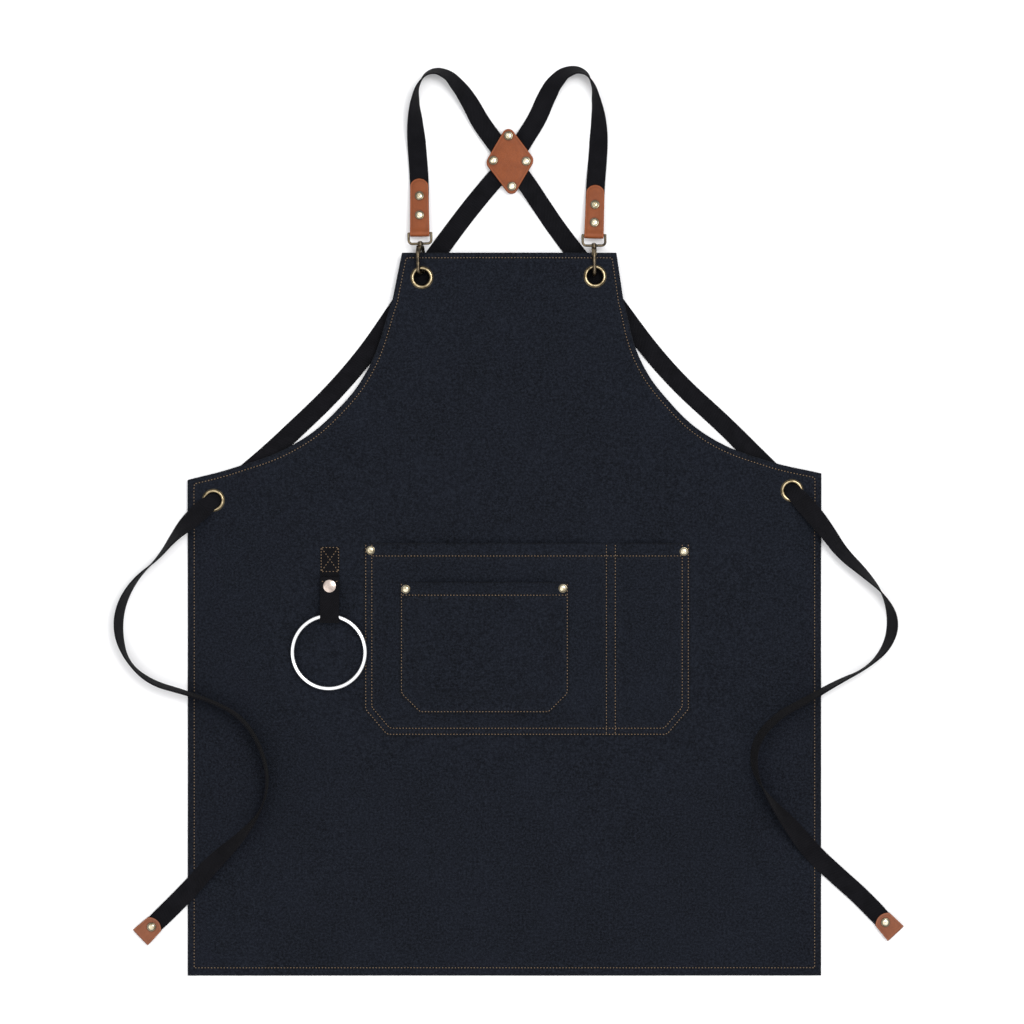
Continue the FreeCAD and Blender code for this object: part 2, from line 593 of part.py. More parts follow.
def snap_hook():
    """Swivel post, shank with two ears for the gate, and the wire bent round to a nose."""
    def at(past, height):
        return Vector(0, hook_y(past), height)

    corner = HOOK_CORNER
    bend = corner * math.sqrt(0.5)
    far = HOOK_REACH
    low, high = -HOOK_HALF, HOOK_HALF
    wire = rod([
        Part.makeLine(at(9.0, low), at(far - corner, low)),
        Part.Arc(at(far - corner, low), at(far - corner + bend, low + corner - bend),
                 at(far, low + corner)).toShape(),
        Part.makeLine(at(far, low + corner), at(far, high - corner)),
        Part.Arc(at(far, high - corner), at(far - corner + bend, high - corner + bend),
                 at(far - corner, high)).toShape(),
        Part.makeLine(at(far - corner, high), at(NOSE, high))], WIRE_R)
    shank = profile_x([(hook_y(2.0), -3.2), (hook_y(2.0), 3.2), (hook_y(4.6), 5.0), (hook_y(7.0), 6.5),
                       (hook_y(9.2), 6.3), (hook_y(10.4), 4.6), (hook_y(6.6), 1.0), (hook_y(6.6), -2.4),
                       (hook_y(10.4), -5.2), (hook_y(11.6), -8.2), (hook_y(9.4), -8.4),
                       (hook_y(6.0), -6.6), (hook_y(3.4), -4.4)], -EAR_WIDTH / 2, EAR_WIDTH / 2)
    taper = Part.makeCone(4.4, EAR_WIDTH * 1.6, 14, at(1.8, 0), Vector(0, -1, 0))
    shank = shank.common(taper)
    slot = Part.makeBox(GATE_WIDTH + 0.4, 12, 9, Vector(-GATE_WIDTH / 2 - 0.2, hook_y(14.6), 1.2))
    post = Part.makeCylinder(SWIVEL_R, BOSS_LENGTH + 1.2, at(-BOSS_LENGTH / 2 - 0.6, 0), Vector(0, -1, 0))
    head = domed(SWIVEL_HEAD_R, 0, 1.2)
    head.rotate(Vector(0, 0, 0), Vector(1, 0, 0), -90)
    head.translate(at(-BOSS_LENGTH / 2 - 0.15, 0))
    collar = Part.makeCylinder(COLLAR_R, 1.4, at(BOSS_LENGTH / 2 + 0.15, 0), Vector(0, -1, 0))
    shape = shank.cut(slot).fuse([wire, post, head, collar])
    pin_start = at(*GATE_PIN) - Vector(EAR_WIDTH / 2 + 1, 0, 0)
    pin_hole = Part.makeCylinder(GATE_PIN_R + 0.02, EAR_WIDTH + 2, pin_start, Vector(1, 0, 0))
    return shape.cut(pin_hole)


def gate():
    """Lever that closes the hook, with a thumb nub on its back."""
    corners = [(6.4, 3.6), (6.2, 6.0), (7.6, 7.4), (9.8, 7.7), (11.0, 8.5), (12.4, 8.5), (13.6, 8.0),
               (NOSE - 0.9, 7.9), (NOSE - 0.4, 6.6), (NOSE - 0.4, 5.5), (13.0, 5.4), (9.6, 3.3), (7.6, 2.8)]
    outline = [(hook_y(past), height) for past, height in corners]
    plate = profile_x(outline, -GATE_WIDTH / 2, GATE_WIDTH / 2)
    start = Vector(-GATE_WIDTH / 2 - 1, hook_y(GATE_PIN[0]), GATE_PIN[1])
    return plate.cut(Part.makeCylinder(GATE_PIN_R + 0.06, GATE_WIDTH + 2, start, Vector(1, 0, 0)))


def gate_pin():
    length = EAR_WIDTH + 0.8
    start = Vector(-length / 2, hook_y(GATE_PIN[0]), GATE_PIN[1])
    return Part.makeCylinder(GATE_PIN_R, length, start, Vector(1, 0, 0))


def gate_spring():
    """Bent leaf that lifts the gate from below."""
    line = [(4.2, 1.35), (7.2, 1.35), (8.6, 1.6), (10.6, 3.2)]
    lower = [(hook_y(past), height) for past, height in line]
    upper = [(hook_y(past - 0.1), height + SPRING_LEAF) for past, height in reversed(line)]
    return profile_x(lower + upper, -1.0, 1.0)


# ---- towel ring and its tab ---------------------------------------------------------------
def ring_tab_station(y, z, heading):
    return Vector(RING_TAB_X, y, z), heading, 0, RING_TAB_WIDTH


def strip_yz(points, thickness):
    """Strip of webbing of constant width whose middle runs through (y, z) points."""
    stations = []
    for i, (y, z) in enumerate(points):
        before = points[max(i - 1, 0)]
        after = points[min(i + 1, len(points) - 1)]
        heading = Vector(0, after[0] - before[0], after[1] - before[1]).normalize()
        stations.append(ring_tab_station(y, z, heading))
    return ribbon(stations, thickness)


def ring_tab_back():
    """Layer sewn to the panel at its top, loose below down to the fold."""
    sewn = DENIM + RING_TAB_WEB / 2
    loose = RING_TAB_BACK_Z + RING_TAB_WEB / 2
    strip = strip_yz([(RING_TAB_TOP_Y, sewn), (-40, sewn), (-53, sewn), (-60, loose), (-70, loose),
                      (-90, loose), (RING_FOLD_Y, loose)], RING_TAB_WEB)
    return strip.cut(Part.makeCylinder(SNAP_SHANK_R + FIT, 12, Vector(RING_TAB_X, SNAP_Y, 0)))


def ring_tab_fold():
    """Half turn of webbing under the ring."""
    inner = RING_FOLD_R - RING_TAB_WEB / 2
    outer = RING_FOLD_R + RING_TAB_WEB / 2
    centre = Vector(RING_TAB_X - RING_TAB_WIDTH / 2, RING_FOLD_Y, FOLD_Z)
    along = Vector(1, 0, 0)
    tube = Part.makeCylinder(outer, RING_TAB_WIDTH, centre, along).cut(
        Part.makeCylinder(inner, RING_TAB_WIDTH, centre, along))
    keep = Part.makeBox(RING_TAB_WIDTH, outer + 2, 4 * outer,
                        Vector(centre.x, RING_FOLD_Y - outer - 2, FOLD_Z - 2 * outer))
    return tube.common(keep)


def ring_tab_flap():
    """Layer that comes back over the ring and ends past the snap."""
    top = FOLD_Z + RING_FOLD_R
    strip = strip_yz([(RING_FOLD_Y, top), (RING_FOLD_Y + 2, top), (-98, top - 0.1), (-91, top - 1.2),
                      (-84, top - 2.3), (-78, FLAP_Z), (SNAP_Y, FLAP_Z), (FLAP_END_Y, FLAP_Z)],
                     RING_TAB_WEB)
    return strip.cut(Part.makeCylinder(SNAP_SHANK_R + FIT, 20, Vector(RING_TAB_X, SNAP_Y, 0)))


def towel_ring():
    ring = Part.makeTorus(RING_R, RING_WIRE_R, Vector(*RING_CENTRE, RING_Z), Vector(0, 0, 1))
    ring.rotate(Vector(RING_CENTRE[0], RING_CENTRE[1] + RING_R, RING_Z), Vector(1, 0, 0), RING_TILT)
    return ring


def snap_parts():
    """Press snap: stud on the back layer, socket under the flap, cap on top of the flap."""
    back_top = RING_TAB_BACK_Z + RING_TAB_WEB
    stud = turned([(0, DENIM + 0.05), (4.6, DENIM + 0.05), (4.6, RING_TAB_BACK_Z - 0.05),
                   (SNAP_SHANK_R, RING_TAB_BACK_Z - 0.05), (SNAP_SHANK_R, back_top), (4.8, back_top),
                   (4.8, back_top + 0.6), (1.8, back_top + 0.7), (1.8, back_top + 1.2),
                   (2.2, back_top + 1.8), (1.7, back_top + 2.3), (0, back_top + 2.4)])
    flap_under = FLAP_Z - RING_TAB_WEB / 2
    socket = turned([(2.6, flap_under), (5.6, flap_under), (5.6, flap_under - 1.6), (4.9, flap_under - 2.0),
                     (2.6, flap_under - 2.0)])
    flap_top = FLAP_Z + RING_TAB_WEB / 2
    cap = domed(SNAP_CAP_R, flap_top, SNAP_CAP_RISE)
    shank = Part.makeCylinder(SNAP_SHANK_R, RING_TAB_WEB, Vector(0, 0, flap_under))
    cap = cap.fuse(shank)
    return {name: moved(shape, RING_TAB_X, SNAP_Y, 0)
            for name, shape in (("snap_stud", stud), ("snap_socket", socket), ("snap_cap", cap))}


# ---- straps and ties ----------------------------------------------------------------------
def tab_point(side, along, height=0.0):
    """Point on a hook tab's middle plane, measured along the tab from the D-loop's bar."""
    spec = HOOK_SETS[side]
    yaw = math.radians(spec["tab_yaw"])
    tilt = math.radians(TAB_TILT)
    forward = along * math.cos(tilt) - height * math.sin(tilt)
    x, y = spec["bar"]
    return Vector(x - forward * math.sin(yaw), y + forward * math.cos(yaw),
                  LOOP_CENTRE_Z + along * math.sin(tilt) + height * math.cos(tilt))


def through_grommet(grommet):
    """Webbing points that come from behind, up through the hole and over the rim."""
    x, y = GROMMETS[grommet]
    heading = math.radians(GROMMET_HEADING[grommet])
    return [(Vector(x + past * math.cos(heading), y + past * math.sin(heading), z), width)
            for past, z, width in THROUGH_GROMMET]


def shoulder_strap(side, route, grommet):
    """Webbing from a hook's tab over the shoulder, across the back and out of the far grommet."""
    start = 6.0
    points = [(tab_point(side, start), 0, WEB_WIDTH),
              (tab_point(side, HOOK_SETS[side]["tab"] / 2), 0, WEB_WIDTH),
              (tab_point(side, HOOK_SETS[side]["tab"] - 4), 0, WEB_WIDTH)]
    points += [(laid(*entry), entry[3], WEB_WIDTH) for entry in route]
    final_roll = route[-1][3]
    points += [(centre, final_roll, width) for centre, width in through_grommet(grommet)]
    strap = ribbon(curved_stations(points, STATION), WEB)
    for along in HOOK_SETS[side]["rivets"]:
        place = tab_point(side, along)
        strap = strap.cut(moved(Part.makeCylinder(RIVET_SHANK_R + FIT, 8, Vector(0, 0, -4)),
                                place.x, place.y, place.z, HOOK_SETS[side]["tab_yaw"], TAB_TILT))
    return strap


def tip_frame(route):
    """Yaw of a tie's leather tip, its folded end leading, and where its fold and its rivet are."""
    before, last = laid(*route[-2]), laid(*route[-1])
    heading = Vector(last.x - before.x, last.y - before.y, 0).normalize()
    yaw = math.degrees(math.atan2(heading.y, heading.x)) + 90
    fold = (last.x + TIP_FOLD * heading.x, last.y + TIP_FOLD * heading.y)
    rivet = (last.x + TIP_RIVET * heading.x, last.y + TIP_RIVET * heading.y)
    return yaw, fold, rivet


def waist_tie(name, grommet, route):
    """Free tie: starts face to face with the webbing in the grommet, ends inside its leather tip."""
    stations, length, radii = route_stations(route, WEB_WIDTH)
    lead = through_grommet(grommet)
    first_run = (lead[-1][0] - lead[-2][0]).normalize()
    end, end_heading, end_roll, _ = stations[-1]
    mouth = Vector(end.x, end.y, TIP_WEB_Z)
    heading = Vector(end_heading.x, end_heading.y, 0).normalize()
    stations[0] = (lead[-1][0], first_run, 0, lead[-1][1])
    stations[-1] = (mouth, heading, end_roll, WEB_WIDTH - 0.5)
    stations.append((mouth + heading * 2, heading, end_roll, WEB_WIDTH - 1))
    stations.append((mouth + heading * (TIP_LENGTH - 7), heading, end_roll, WEB_WIDTH - 1))
    tie = ribbon(stations, WEB)
    print("%s length %.1f, radii %s" % (name, length, " ".join("%.0f" % r for r in radii)))
    print("    volume %.0f against section times length %.0f" % (tie.Volume, length * WEB * WEB_WIDTH))
    return tie


# ---- build --------------------------------------------------------------------------------
def build_denim():
    save("apron_panel", apron_panel())
    large = pocket_cloth(LARGE, DENIM, DIVIDER)
    large = drilled(large, POCKET_RIVETS_LARGE + POCKET_RIVETS_SMALL, RIVET_SHANK_R + FIT, 0, 20)
    save("large_pocket", large)
    small_base = DENIM + LARGE["puff"] + POCKET_DENIM
    save("small_pocket", drilled(pocket_cloth(SMALL, small_base), POCKET_RIVETS_SMALL,
                                 RIVET_SHANK_R + FIT, 0, 30))


def build_hook_tabs():
    for side, spec in HOOK_SETS.items():
        x, y = spec["bar"]
        seat = (x, y, LOOP_CENTRE_Z, spec["tab_yaw"], TAB_TILT)
        tab = folded_tab(spec["tab"], LOOP_WIRE_R + TAB_EYE_GAP, WEB + TAB_SLACK, LEATHER,
                         TAB_WIDTH, TAB_WIDTH - TAB_TAPER, TAB_END_R)
        hole = Part.makeCylinder(RIVET_SHANK_R + FIT, 12, Vector(0, 0, -6))
        half_stack = (WEB + TAB_SLACK) / 2 + LEATHER
        places = []
        for along in spec["rivets"]:
            tab = tab.cut(moved(hole, 0, along, 0))
            foot = tab_point(side, along, -half_stack)
            places.append((foot.x, foot.y, foot.z, spec["tab_yaw"], TAB_TILT))
        save(side + "_hook_tab", moved(tab, *seat))
        rivet_group(side + "_hook_tab", places, 2 * half_stack)


def build_cross_patch():
    shank = RIVET_SHANK_R + FIT
    save("cross_patch_back", drilled(patch_leather(PATCH_BACK_Z), PATCH_RIVETS, shank, 0, 12))
    save("cross_patch_front", drilled(patch_leather(PATCH_FRONT_Z), PATCH_RIVETS, shank, 0, 12))
    grip = PATCH_FRONT_Z + LEATHER - PATCH_BACK_Z
    rivet_group("cross_patch", [(x, y, PATCH_BACK_Z, 0, 0) for x, y in PATCH_RIVETS], grip)


def build_tie_tips():
    for side, route in TIE_ROUTES:
        yaw, fold, rivet = tip_frame(route)
        tip = folded_tab(TIP_LENGTH - 2, (WEB + TAB_SLACK) / 2, WEB + TAB_SLACK, TIP_LEATHER,
                         TIP_WIDTH[1], TIP_WIDTH[0], TIP_END_R)
        hole = Part.makeCylinder(RIVET_SHANK_R + FIT, 12, Vector(0, TIP_FOLD - TIP_RIVET, -6))
        save(side + "_tie_tip", moved(tip.cut(hole), *fold, TIP_WEB_Z, yaw))
        half_stack = (WEB + TAB_SLACK) / 2 + TIP_LEATHER
        rivet_group(side + "_tie_tip", [(*rivet, TIP_WEB_Z - half_stack, yaw, 0)], 2 * half_stack,
                    back=0.6)


def build_hooks():
    for side, spec in HOOK_SETS.items():
        x, y = spec["bar"]
        seat = (x, y, LOOP_CENTRE_Z, spec["yaw"])
        save(side + "_d_loop", moved(d_loop(), *seat))
        for name, shape in (("snap_hook", snap_hook()), ("gate", gate()), ("gate_pin", gate_pin()),
                            ("gate_spring", gate_spring())):
            shape.rotate(Vector(0, 0, 0), Vector(0, 1, 0), spec["turn"])
            save(side + "_" + name, moved(shape, *seat))


def build_ring():
    save("ring_tab_back", ring_tab_back())
    save("ring_tab_fold", ring_tab_fold())
    save("ring_tab_flap", ring_tab_flap())
    save("towel_ring", towel_ring())
    for name, shape in snap_parts().items():
        save(name, shape)


def build_straps():
    for side, route, grommet in (("left", FROM_LEFT_HOOK, "right_side"),
                                 ("right", FROM_RIGHT_HOOK, "left_side")):
        save("strap_from_" + side + "_hook", shoulder_strap(side, route, grommet))
    for side, route in TIE_ROUTES:
        tie = waist_tie(side + "_waist_tie", side + "_side", route)
        yaw, fold, rivet = tip_frame(route)
        hole = Part.makeCylinder(RIVET_SHANK_R + FIT, 12, Vector(*rivet, -3))
        save(side + "_waist_tie", tie.cut(hole))


def build_grommets():
    for name, (x, y) in GROMMETS.items():
        middle = under_panel(y) + DENIM / 2
        save(name + "_eyelet", moved(eyelet(), x, y, middle))
        save(name + "_washer", moved(washer(), x, y, middle))


def build_pocket_rivets():
    grip_large = DENIM - RIVET_PANEL_RECESS + POCKET_DENIM
    small_seat = DENIM + LARGE["puff"]
    places = [(x, y, RIVET_PANEL_RECESS, 0, 0) for x, y in POCKET_RIVETS_LARGE]
    posts = [moved(rivet_post(grip_large, 0.5), *place) for place in places]
    caps = [moved(rivet_cap(grip_large), *place) for place in places]
    for x, y in POCKET_RIVETS_SMALL:
        posts.append(moved(rivet_post(2 * POCKET_DENIM, 0.6), x, y, small_seat))
        caps.append(moved(rivet_cap(2 * POCKET_DENIM), x, y, small_seat))
    save("pocket_rivet_posts", Part.makeCompound(posts))
    save("pocket_rivet_caps", Part.makeCompound(caps))


os.makedirs("parts", exist_ok=True)
build_denim()
build_grommets()
build_pocket_rivets()
build_hook_tabs()
build_cross_patch()
build_tie_tips()
build_straps()
build_hooks()
build_ring()
print(len(NODES), "nodes")
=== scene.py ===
import math
import random

import bmesh
import bpy
import numpy as np
from mathutils import Matrix, Vector, geometry, kdtree, noise


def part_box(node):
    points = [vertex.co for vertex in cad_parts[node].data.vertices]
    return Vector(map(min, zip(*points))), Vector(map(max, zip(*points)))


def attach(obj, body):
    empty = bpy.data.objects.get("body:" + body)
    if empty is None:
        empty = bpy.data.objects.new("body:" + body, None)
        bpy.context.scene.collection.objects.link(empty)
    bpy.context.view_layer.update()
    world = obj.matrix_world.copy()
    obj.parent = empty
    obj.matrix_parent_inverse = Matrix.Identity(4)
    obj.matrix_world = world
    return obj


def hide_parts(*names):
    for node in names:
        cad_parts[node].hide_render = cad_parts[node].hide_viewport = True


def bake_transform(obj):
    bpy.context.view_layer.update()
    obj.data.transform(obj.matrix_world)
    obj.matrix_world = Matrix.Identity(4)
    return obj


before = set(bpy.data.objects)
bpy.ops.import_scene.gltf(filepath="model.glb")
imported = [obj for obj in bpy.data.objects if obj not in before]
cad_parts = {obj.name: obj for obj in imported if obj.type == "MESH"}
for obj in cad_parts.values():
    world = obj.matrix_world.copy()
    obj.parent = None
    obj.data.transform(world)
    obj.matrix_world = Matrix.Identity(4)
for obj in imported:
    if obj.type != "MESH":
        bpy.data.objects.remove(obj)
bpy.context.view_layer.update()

# Denim bib apron laid out flat, in metres: +Y from the hem to the bib, +Z out of its front.

# ---- sizes --------------------------------------------------------------------------------
DENIM = 0.0012                  # thickness of the panel's cloth
POCKET_DENIM = 0.0010
POCKET_PUFF = 0.0050            # how far a pocket's cloth stands off what it is sewn to
HIP_LIFT = 0.0034               # underside of the panel at the side grommets
BIB_LIFT = 0.0099               # underside of the panel at the bib grommets
WEB_WIDTH = 0.020
WEB = 0.0016                    # thickness of the webbing
RING_TAB_WEB = 0.0015
LEATHER = 0.0015
TIP_LEATHER = 0.0013
TAB_GAP = 0.0019                # between the two layers of a folded leather piece
TIP_REACH = 0.0220              # from the end of a tie's route to the fold of its leather tip
EYELET_HOLE = 0.0092            # radius of the hole in the denim
HOOK_AXIS_Z = 0.0105            # height of the D-loop's bar
TAB_TILT = math.radians(-6.5)
PATCH_YAW = math.radians(3.4)

# seams: distance of a line of stitches from the cloth's edge
SIDE_SEAM = 0.0070
HEM_SEAM = 0.0085
ARMHOLE_SEAM = 0.0060
TOP_SEAM = 0.0055
POCKET_SEAMS = (0.0020, 0.0085)
MOUTH_SEAM = 0.0138
CREASE = 0.0022                 # the same for the line pressed along the leather's edge
RING_SEAM_HALF = 0.0093         # half width of the ring tab's box of stitches
RING_SEAM_ENDS = (-0.0545, -0.0287)
FLAP_SEAM_Y = -0.0650
STITCH_PITCH = 0.0034
STITCH_LENGTH = 0.0019
THREAD_R = 0.00046

# cut of the panel, from the bib's top corners down to the hip corners
LEFT_ARMHOLE = [(-0.1198, 0.2370), (-0.1466, 0.1620), (-0.1790, 0.1190), (-0.2240, 0.0830),
                (-0.2900, 0.0570), (-0.3400, 0.0438)]
RIGHT_ARMHOLE = [(0.1273, 0.2370), (0.1456, 0.1727), (0.1746, 0.1300), (0.2190, 0.0905),
                 (0.2820, 0.0645), (0.3400, 0.0508)]
BIB_CORNERS = [(-0.1097, 0.2870), (0.1199, 0.2870)]
POCKET_DIVIDER = (0.1094, 0.1190)
LARGE_CHAMFER = (0.0240, 0.0280)
SMALL_CHAMFER = (0.0210, 0.0210)

# waist ties: x, y, height of what the webbing stands on, roll about its length in degrees
LEFT_TIE = [
    (-0.3216, 0.0138, 0.0074, 0), (-0.3375, -0.0005, 0.0046, 24), (-0.3535, -0.0170, 0.0024, 62),
    (-0.3710, -0.0405, 0.0002, 80), (-0.3950, -0.0615, 0, 97), (-0.4115, -0.0900, 0, 111),
    (-0.4145, -0.1210, 0, 111), (-0.4035, -0.1525, 0, 86), (-0.3785, -0.1735, 0.0002, 100),
    (-0.3450, -0.1830, 0.0015, 98), (-0.3120, -0.1935, 0.0015, 92), (-0.2810, -0.2100, 0.0015, 94),
    (-0.2605, -0.2415, 0.0015, 92), (-0.2520, -0.2790, 0.0015, 92), (-0.2605, -0.3120, 0.0015, 88),
    (-0.2830, -0.3400, 0.0015, 60), (-0.3130, -0.3670, 0.0015, 25), (-0.3450, -0.4035, 0.0015, 4),
    (-0.3733, -0.4306, 0.0016, 0)]
RIGHT_TIE = [
    (0.3167, 0.0230, 0.0074, 0), (0.3315, 0.0065, 0.0052, -8), (0.3460, -0.0120, 0.0028, -28),
    (0.3620, -0.0350, 0.0004, -42), (0.3855, -0.0560, 0, -60), (0.4070, -0.0790, 0, -88),
    (0.4176, -0.1070, 0, -122), (0.4110, -0.1345, 0, -108), (0.3885, -0.1580, 0, -84),
    (0.3570, -0.1725, 0.0010, -98), (0.3260, -0.1905, 0.0015, -104), (0.2915, -0.2090, 0.0015, -106),
    (0.2680, -0.2360, 0.0015, -108), (0.2665, -0.2680, 0.0015, -104), (0.2830, -0.2980, 0.0015, -78),
    (0.3065, -0.3260, 0.0015, -38), (0.3300, -0.3560, 0.0015, -2), (0.3600, -0.3835, 0.0015, 0),
    (0.3860, -0.4065, 0.0015, 0), (0.4036, -0.4254, 0.0016, 0)]

# shoulder straps from a hook's tab round the shoulder and across the back, given the same way
FROM_LEFT_HOOK = [
    (-0.0942, 0.4040, 0, 10), (-0.0958, 0.4280, 0, 38), (-0.0956, 0.4500, 0, 68),
    (-0.0906, 0.4695, 0, 92), (-0.0790, 0.4806, 0, 110), (-0.0640, 0.4790, 0, 124),
    (-0.0495, 0.4660, 0, 142), (-0.0375, 0.4490, 0, 158), (-0.0250, 0.4270, 0.0012, 174),
    (-0.0125, 0.4093, 0.0043, 180), (0.0059, 0.3854, 0.0043, 180), (0.0240, 0.3612, 0.0043, 180),
    (0.0395, 0.3385, 0.0008, 180), (0.0575, 0.3123, 0.0001, 180), (0.1050, 0.2515, 0.0001, 180),
    (0.1746, 0.1620, 0.0001, 180), (0.2430, 0.0960, 0.0001, 180), (0.2790, 0.0605, 0.0001, 180),
    (0.2950, 0.0452, 0.0001, 180)]
FROM_RIGHT_HOOK = [
    (0.1009, 0.4040, 0, -12), (0.1010, 0.4280, 0, -40), (0.0984, 0.4500, 0, -66),
    (0.0932, 0.4700, 0, -90), (0.0840, 0.4808, 0, -112), (0.0690, 0.4812, 0, -130),
    (0.0554, 0.4710, 0, -150), (0.0460, 0.4560, 0, -168), (0.0350, 0.4320, 0.0010, -180),
    (0.0226, 0.4113, 0.0025, -180), (0.0059, 0.3854, 0.0025, -180), (-0.0142, 0.3622, 0.0025, -180),
    (-0.0336, 0.3390, 0.0006, -180), (-0.0542, 0.3123, 0.0001, -180), (-0.0985, 0.2510, 0.0001, -180),
    (-0.1627, 0.1619, 0.0001, -180), (-0.2370, 0.0867, 0.0001, -180), (-0.2810, 0.0480, 0.0001, -180),
    (-0.2975, 0.0344, 0.0001, -180)]
# through a side grommet: distance past the hole's centre, height of the webbing's middle, width
THROUGH_GROMMET = [(-0.0110, 0.00095, 0.0185), (-0.0065, 0.0010, 0.0165), (-0.0040, 0.0014, 0.0146),
                   (0.0008, 0.0050, 0.0159), (0.0060, 0.0075, 0.0175), (0.0125, 0.0082, 0.0195)]
GROMMET_HEADING = {"left": math.radians(-139.0), "right": math.radians(-48.5)}

HOOK_TABS = {
    "left": {"yaw": math.radians(0.8), "length": 0.0596, "rivets": (0.0196, 0.0406)},
    "right": {"yaw": math.radians(-2.0), "length": 0.0546, "rivets": (0.0136, 0.0331)},
}
BAR = {"left": (-0.0906, 0.3076), "right": (0.0958, 0.3056)}
SIDES = ("left", "right")
EYELETS = [side + "_" + place + "_eyelet" for side in SIDES for place in ("side", "bib")]


def middle(node):
    """Centre of a CAD node's box."""
    low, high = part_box(node)
    return (low + high) / 2


def smoothstep(value, low, high):
    """Share that grows smoothly from 0 at low to 1 at high."""
    share = np.clip((value - low) / (high - low), 0.0, 1.0)
    return share * share * (3 - 2 * share)


def ridge(distance, width):
    """Share that is 1 on a line and fades over a width to either side."""
    return np.exp(-(distance / width) ** 2)


def stand_in(piece, node, body="apron"):
    """Put a piece in a CAD node's place, riding on a body."""
    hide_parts(node)
    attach(piece, body)


# ---- materials ----------------------------------------------------------------------------
class Shader:
    """A material's nodes, added one at a time to its Principled shader."""

    def __init__(self, name, **constants):
        self.material = bpy.data.materials.new(name)
        self.material.use_nodes = True
        self.tree = self.material.node_tree
        self.surface = self.tree.nodes["Principled BSDF"]
        for socket, value in constants.items():
            self.surface.inputs[socket.replace("_", " ")].default_value = value

    def add(self, kind, inputs=(), output=0, **settings):
        """Add a node, link or set its inputs, and give one of its outputs."""
        node = self.tree.nodes.new("ShaderNode" + kind)
        for key, value in settings.items():
            setattr(node, key, value)
        for key, value in dict(inputs).items():
            if isinstance(value, bpy.types.NodeSocket):
                self.tree.links.new(value, node.inputs[key])
            else:
                node.inputs[key].default_value = value
        return node.outputs[output]

    def place(self, scale=(1, 1, 1), turn=0.0, uv=False):
        """Surface position in metres, scaled and turned about Z; with uv, along the webbing."""
        source = self.add("UVMap", uv_map="weave") if uv else self.add("TexCoord", output="Object")
        return self.add("Mapping", {"Vector": source, "Scale": scale, "Rotation": (0, 0, turn)})

    def noise(self, vector, scale, detail=3.0, roughness=0.55):
        return self.add("TexNoise", {"Vector": vector, "Scale": scale, "Detail": detail,
                                     "Roughness": roughness}, "Fac")

    def waves(self, vector, period, distortion=0.0, detail_scale=1.0):
        scale = 2 * math.pi / (20 * period)
        return self.add("TexWave", {"Vector": vector, "Scale": scale, "Distortion": distortion,
                                    "Detail Scale": detail_scale}, "Fac")

    def cells(self, vector, scale):
        return self.add("TexVoronoi", {"Vector": vector, "Scale": scale}, "Distance")

    def spread(self, value, low, high, to_low=0.0, to_high=1.0):
        return self.add("MapRange", {"Value": value, "From Min": low, "From Max": high,
                                     "To Min": to_low, "To Max": to_high}, "Result")

    def sum(self, first, second, share=1.0):
        return self.add("Math", {0: second, 1: share, 2: first}, operation="MULTIPLY_ADD")

    def times(self, first, second):
        return self.add("Math", {0: first, 1: second}, operation="MULTIPLY")

    def layers(self, colour, *over):
        """Colours laid over one another, each given as (share, colour).

        The Mix node's sockets share their names, so its colour ones go by position.
        """
        colour = (*colour, 1)
        for share, top in over:
            colour = self.add("Mix", {0: share, 6: colour, 7: (*top, 1)}, 2, data_type="RGBA")
        return colour

    def attribute(self, name):
        return self.add("Attribute", output="Fac", attribute_name=name)

    def finish(self, colour, roughness=None, height=None, depth=0.0002, strength=1.0):
        """Connect the colour, the roughness and the fine relief."""
        links = self.tree.links
        links.new(colour, self.surface.inputs["Base Color"])
        if roughness is not None:
            links.new(roughness, self.surface.inputs["Roughness"])
        if height is not None:
            bump = self.add("Bump", {"Height": height, "Distance": depth, "Strength": strength})
            links.new(bump, self.surface.inputs["Normal"])
        return self.material


def toned(colour, tone):
    """A darker or paler colour of the same hue."""
    return tuple(channel * tone for channel in colour)


def denim_material(name, cloth, fleck, wear_and_highlight):
    """Raw dark denim: blue-black and softly mottled, with fine pale weft flecks, rubbed edges, and painted
    shade in its seams and along its cut edges.
    """
    shader = Shader(name, Sheen_Weight=0.04, Sheen_Roughness=0.5, Specular_IOR_Level=0.08)
    flat = shader.place()
    warp = shader.noise(shader.place(scale=(900, 260, 400)), 1.0, 2.0)
    twill = shader.waves(shader.place(turn=math.radians(-27)), 0.0011, 3.0, 3.0)
    cloudy = shader.noise(flat, 14.0, 4.0, 0.62)
    blotches = shader.noise(flat, 95.0, 4.0, 0.68)
    specks = shader.spread(shader.noise(flat, 430.0, 5.0, 0.82), 0.44, 0.63)
    weft = shader.noise(shader.place(scale=(240, 900, 400)), 1.0, 3.0, 0.7)
    tone = shader.spread(shader.sum(cloudy, blotches, 0.8), 0.70, 1.12)
    rubbed = shader.times(shader.attribute("wear_and_highlight"), shader.spread(specks, 0.0, 0.8, 0.25, 1.0))
    # near the end: painted shade in seam grooves and along cut edges, partly also less-rubbed indigo; last,
    # real rubbed wear
    colour = shader.layers(
        toned(cloth, 0.50), (tone, toned(cloth, 1.35)),
        (shader.times(specks, 0.74), fleck),
        (shader.times(shader.spread(weft, 0.42, 0.72), 0.34), fleck),
        (shader.times(shader.spread(warp, 0.45, 0.75), 0.16), fleck),
        (shader.times(twill, 0.05), fleck),
        (shader.attribute("painted_shade"), toned(cloth, 0.35)), (rubbed, wear_and_highlight))
    roughness = shader.spread(specks, 0.0, 1.0, 0.92, 0.80)
    relief = shader.sum(shader.sum(twill, specks, 0.9), warp, 0.5)
    return shader.finish(colour, roughness, relief, 0.00022, 0.8)


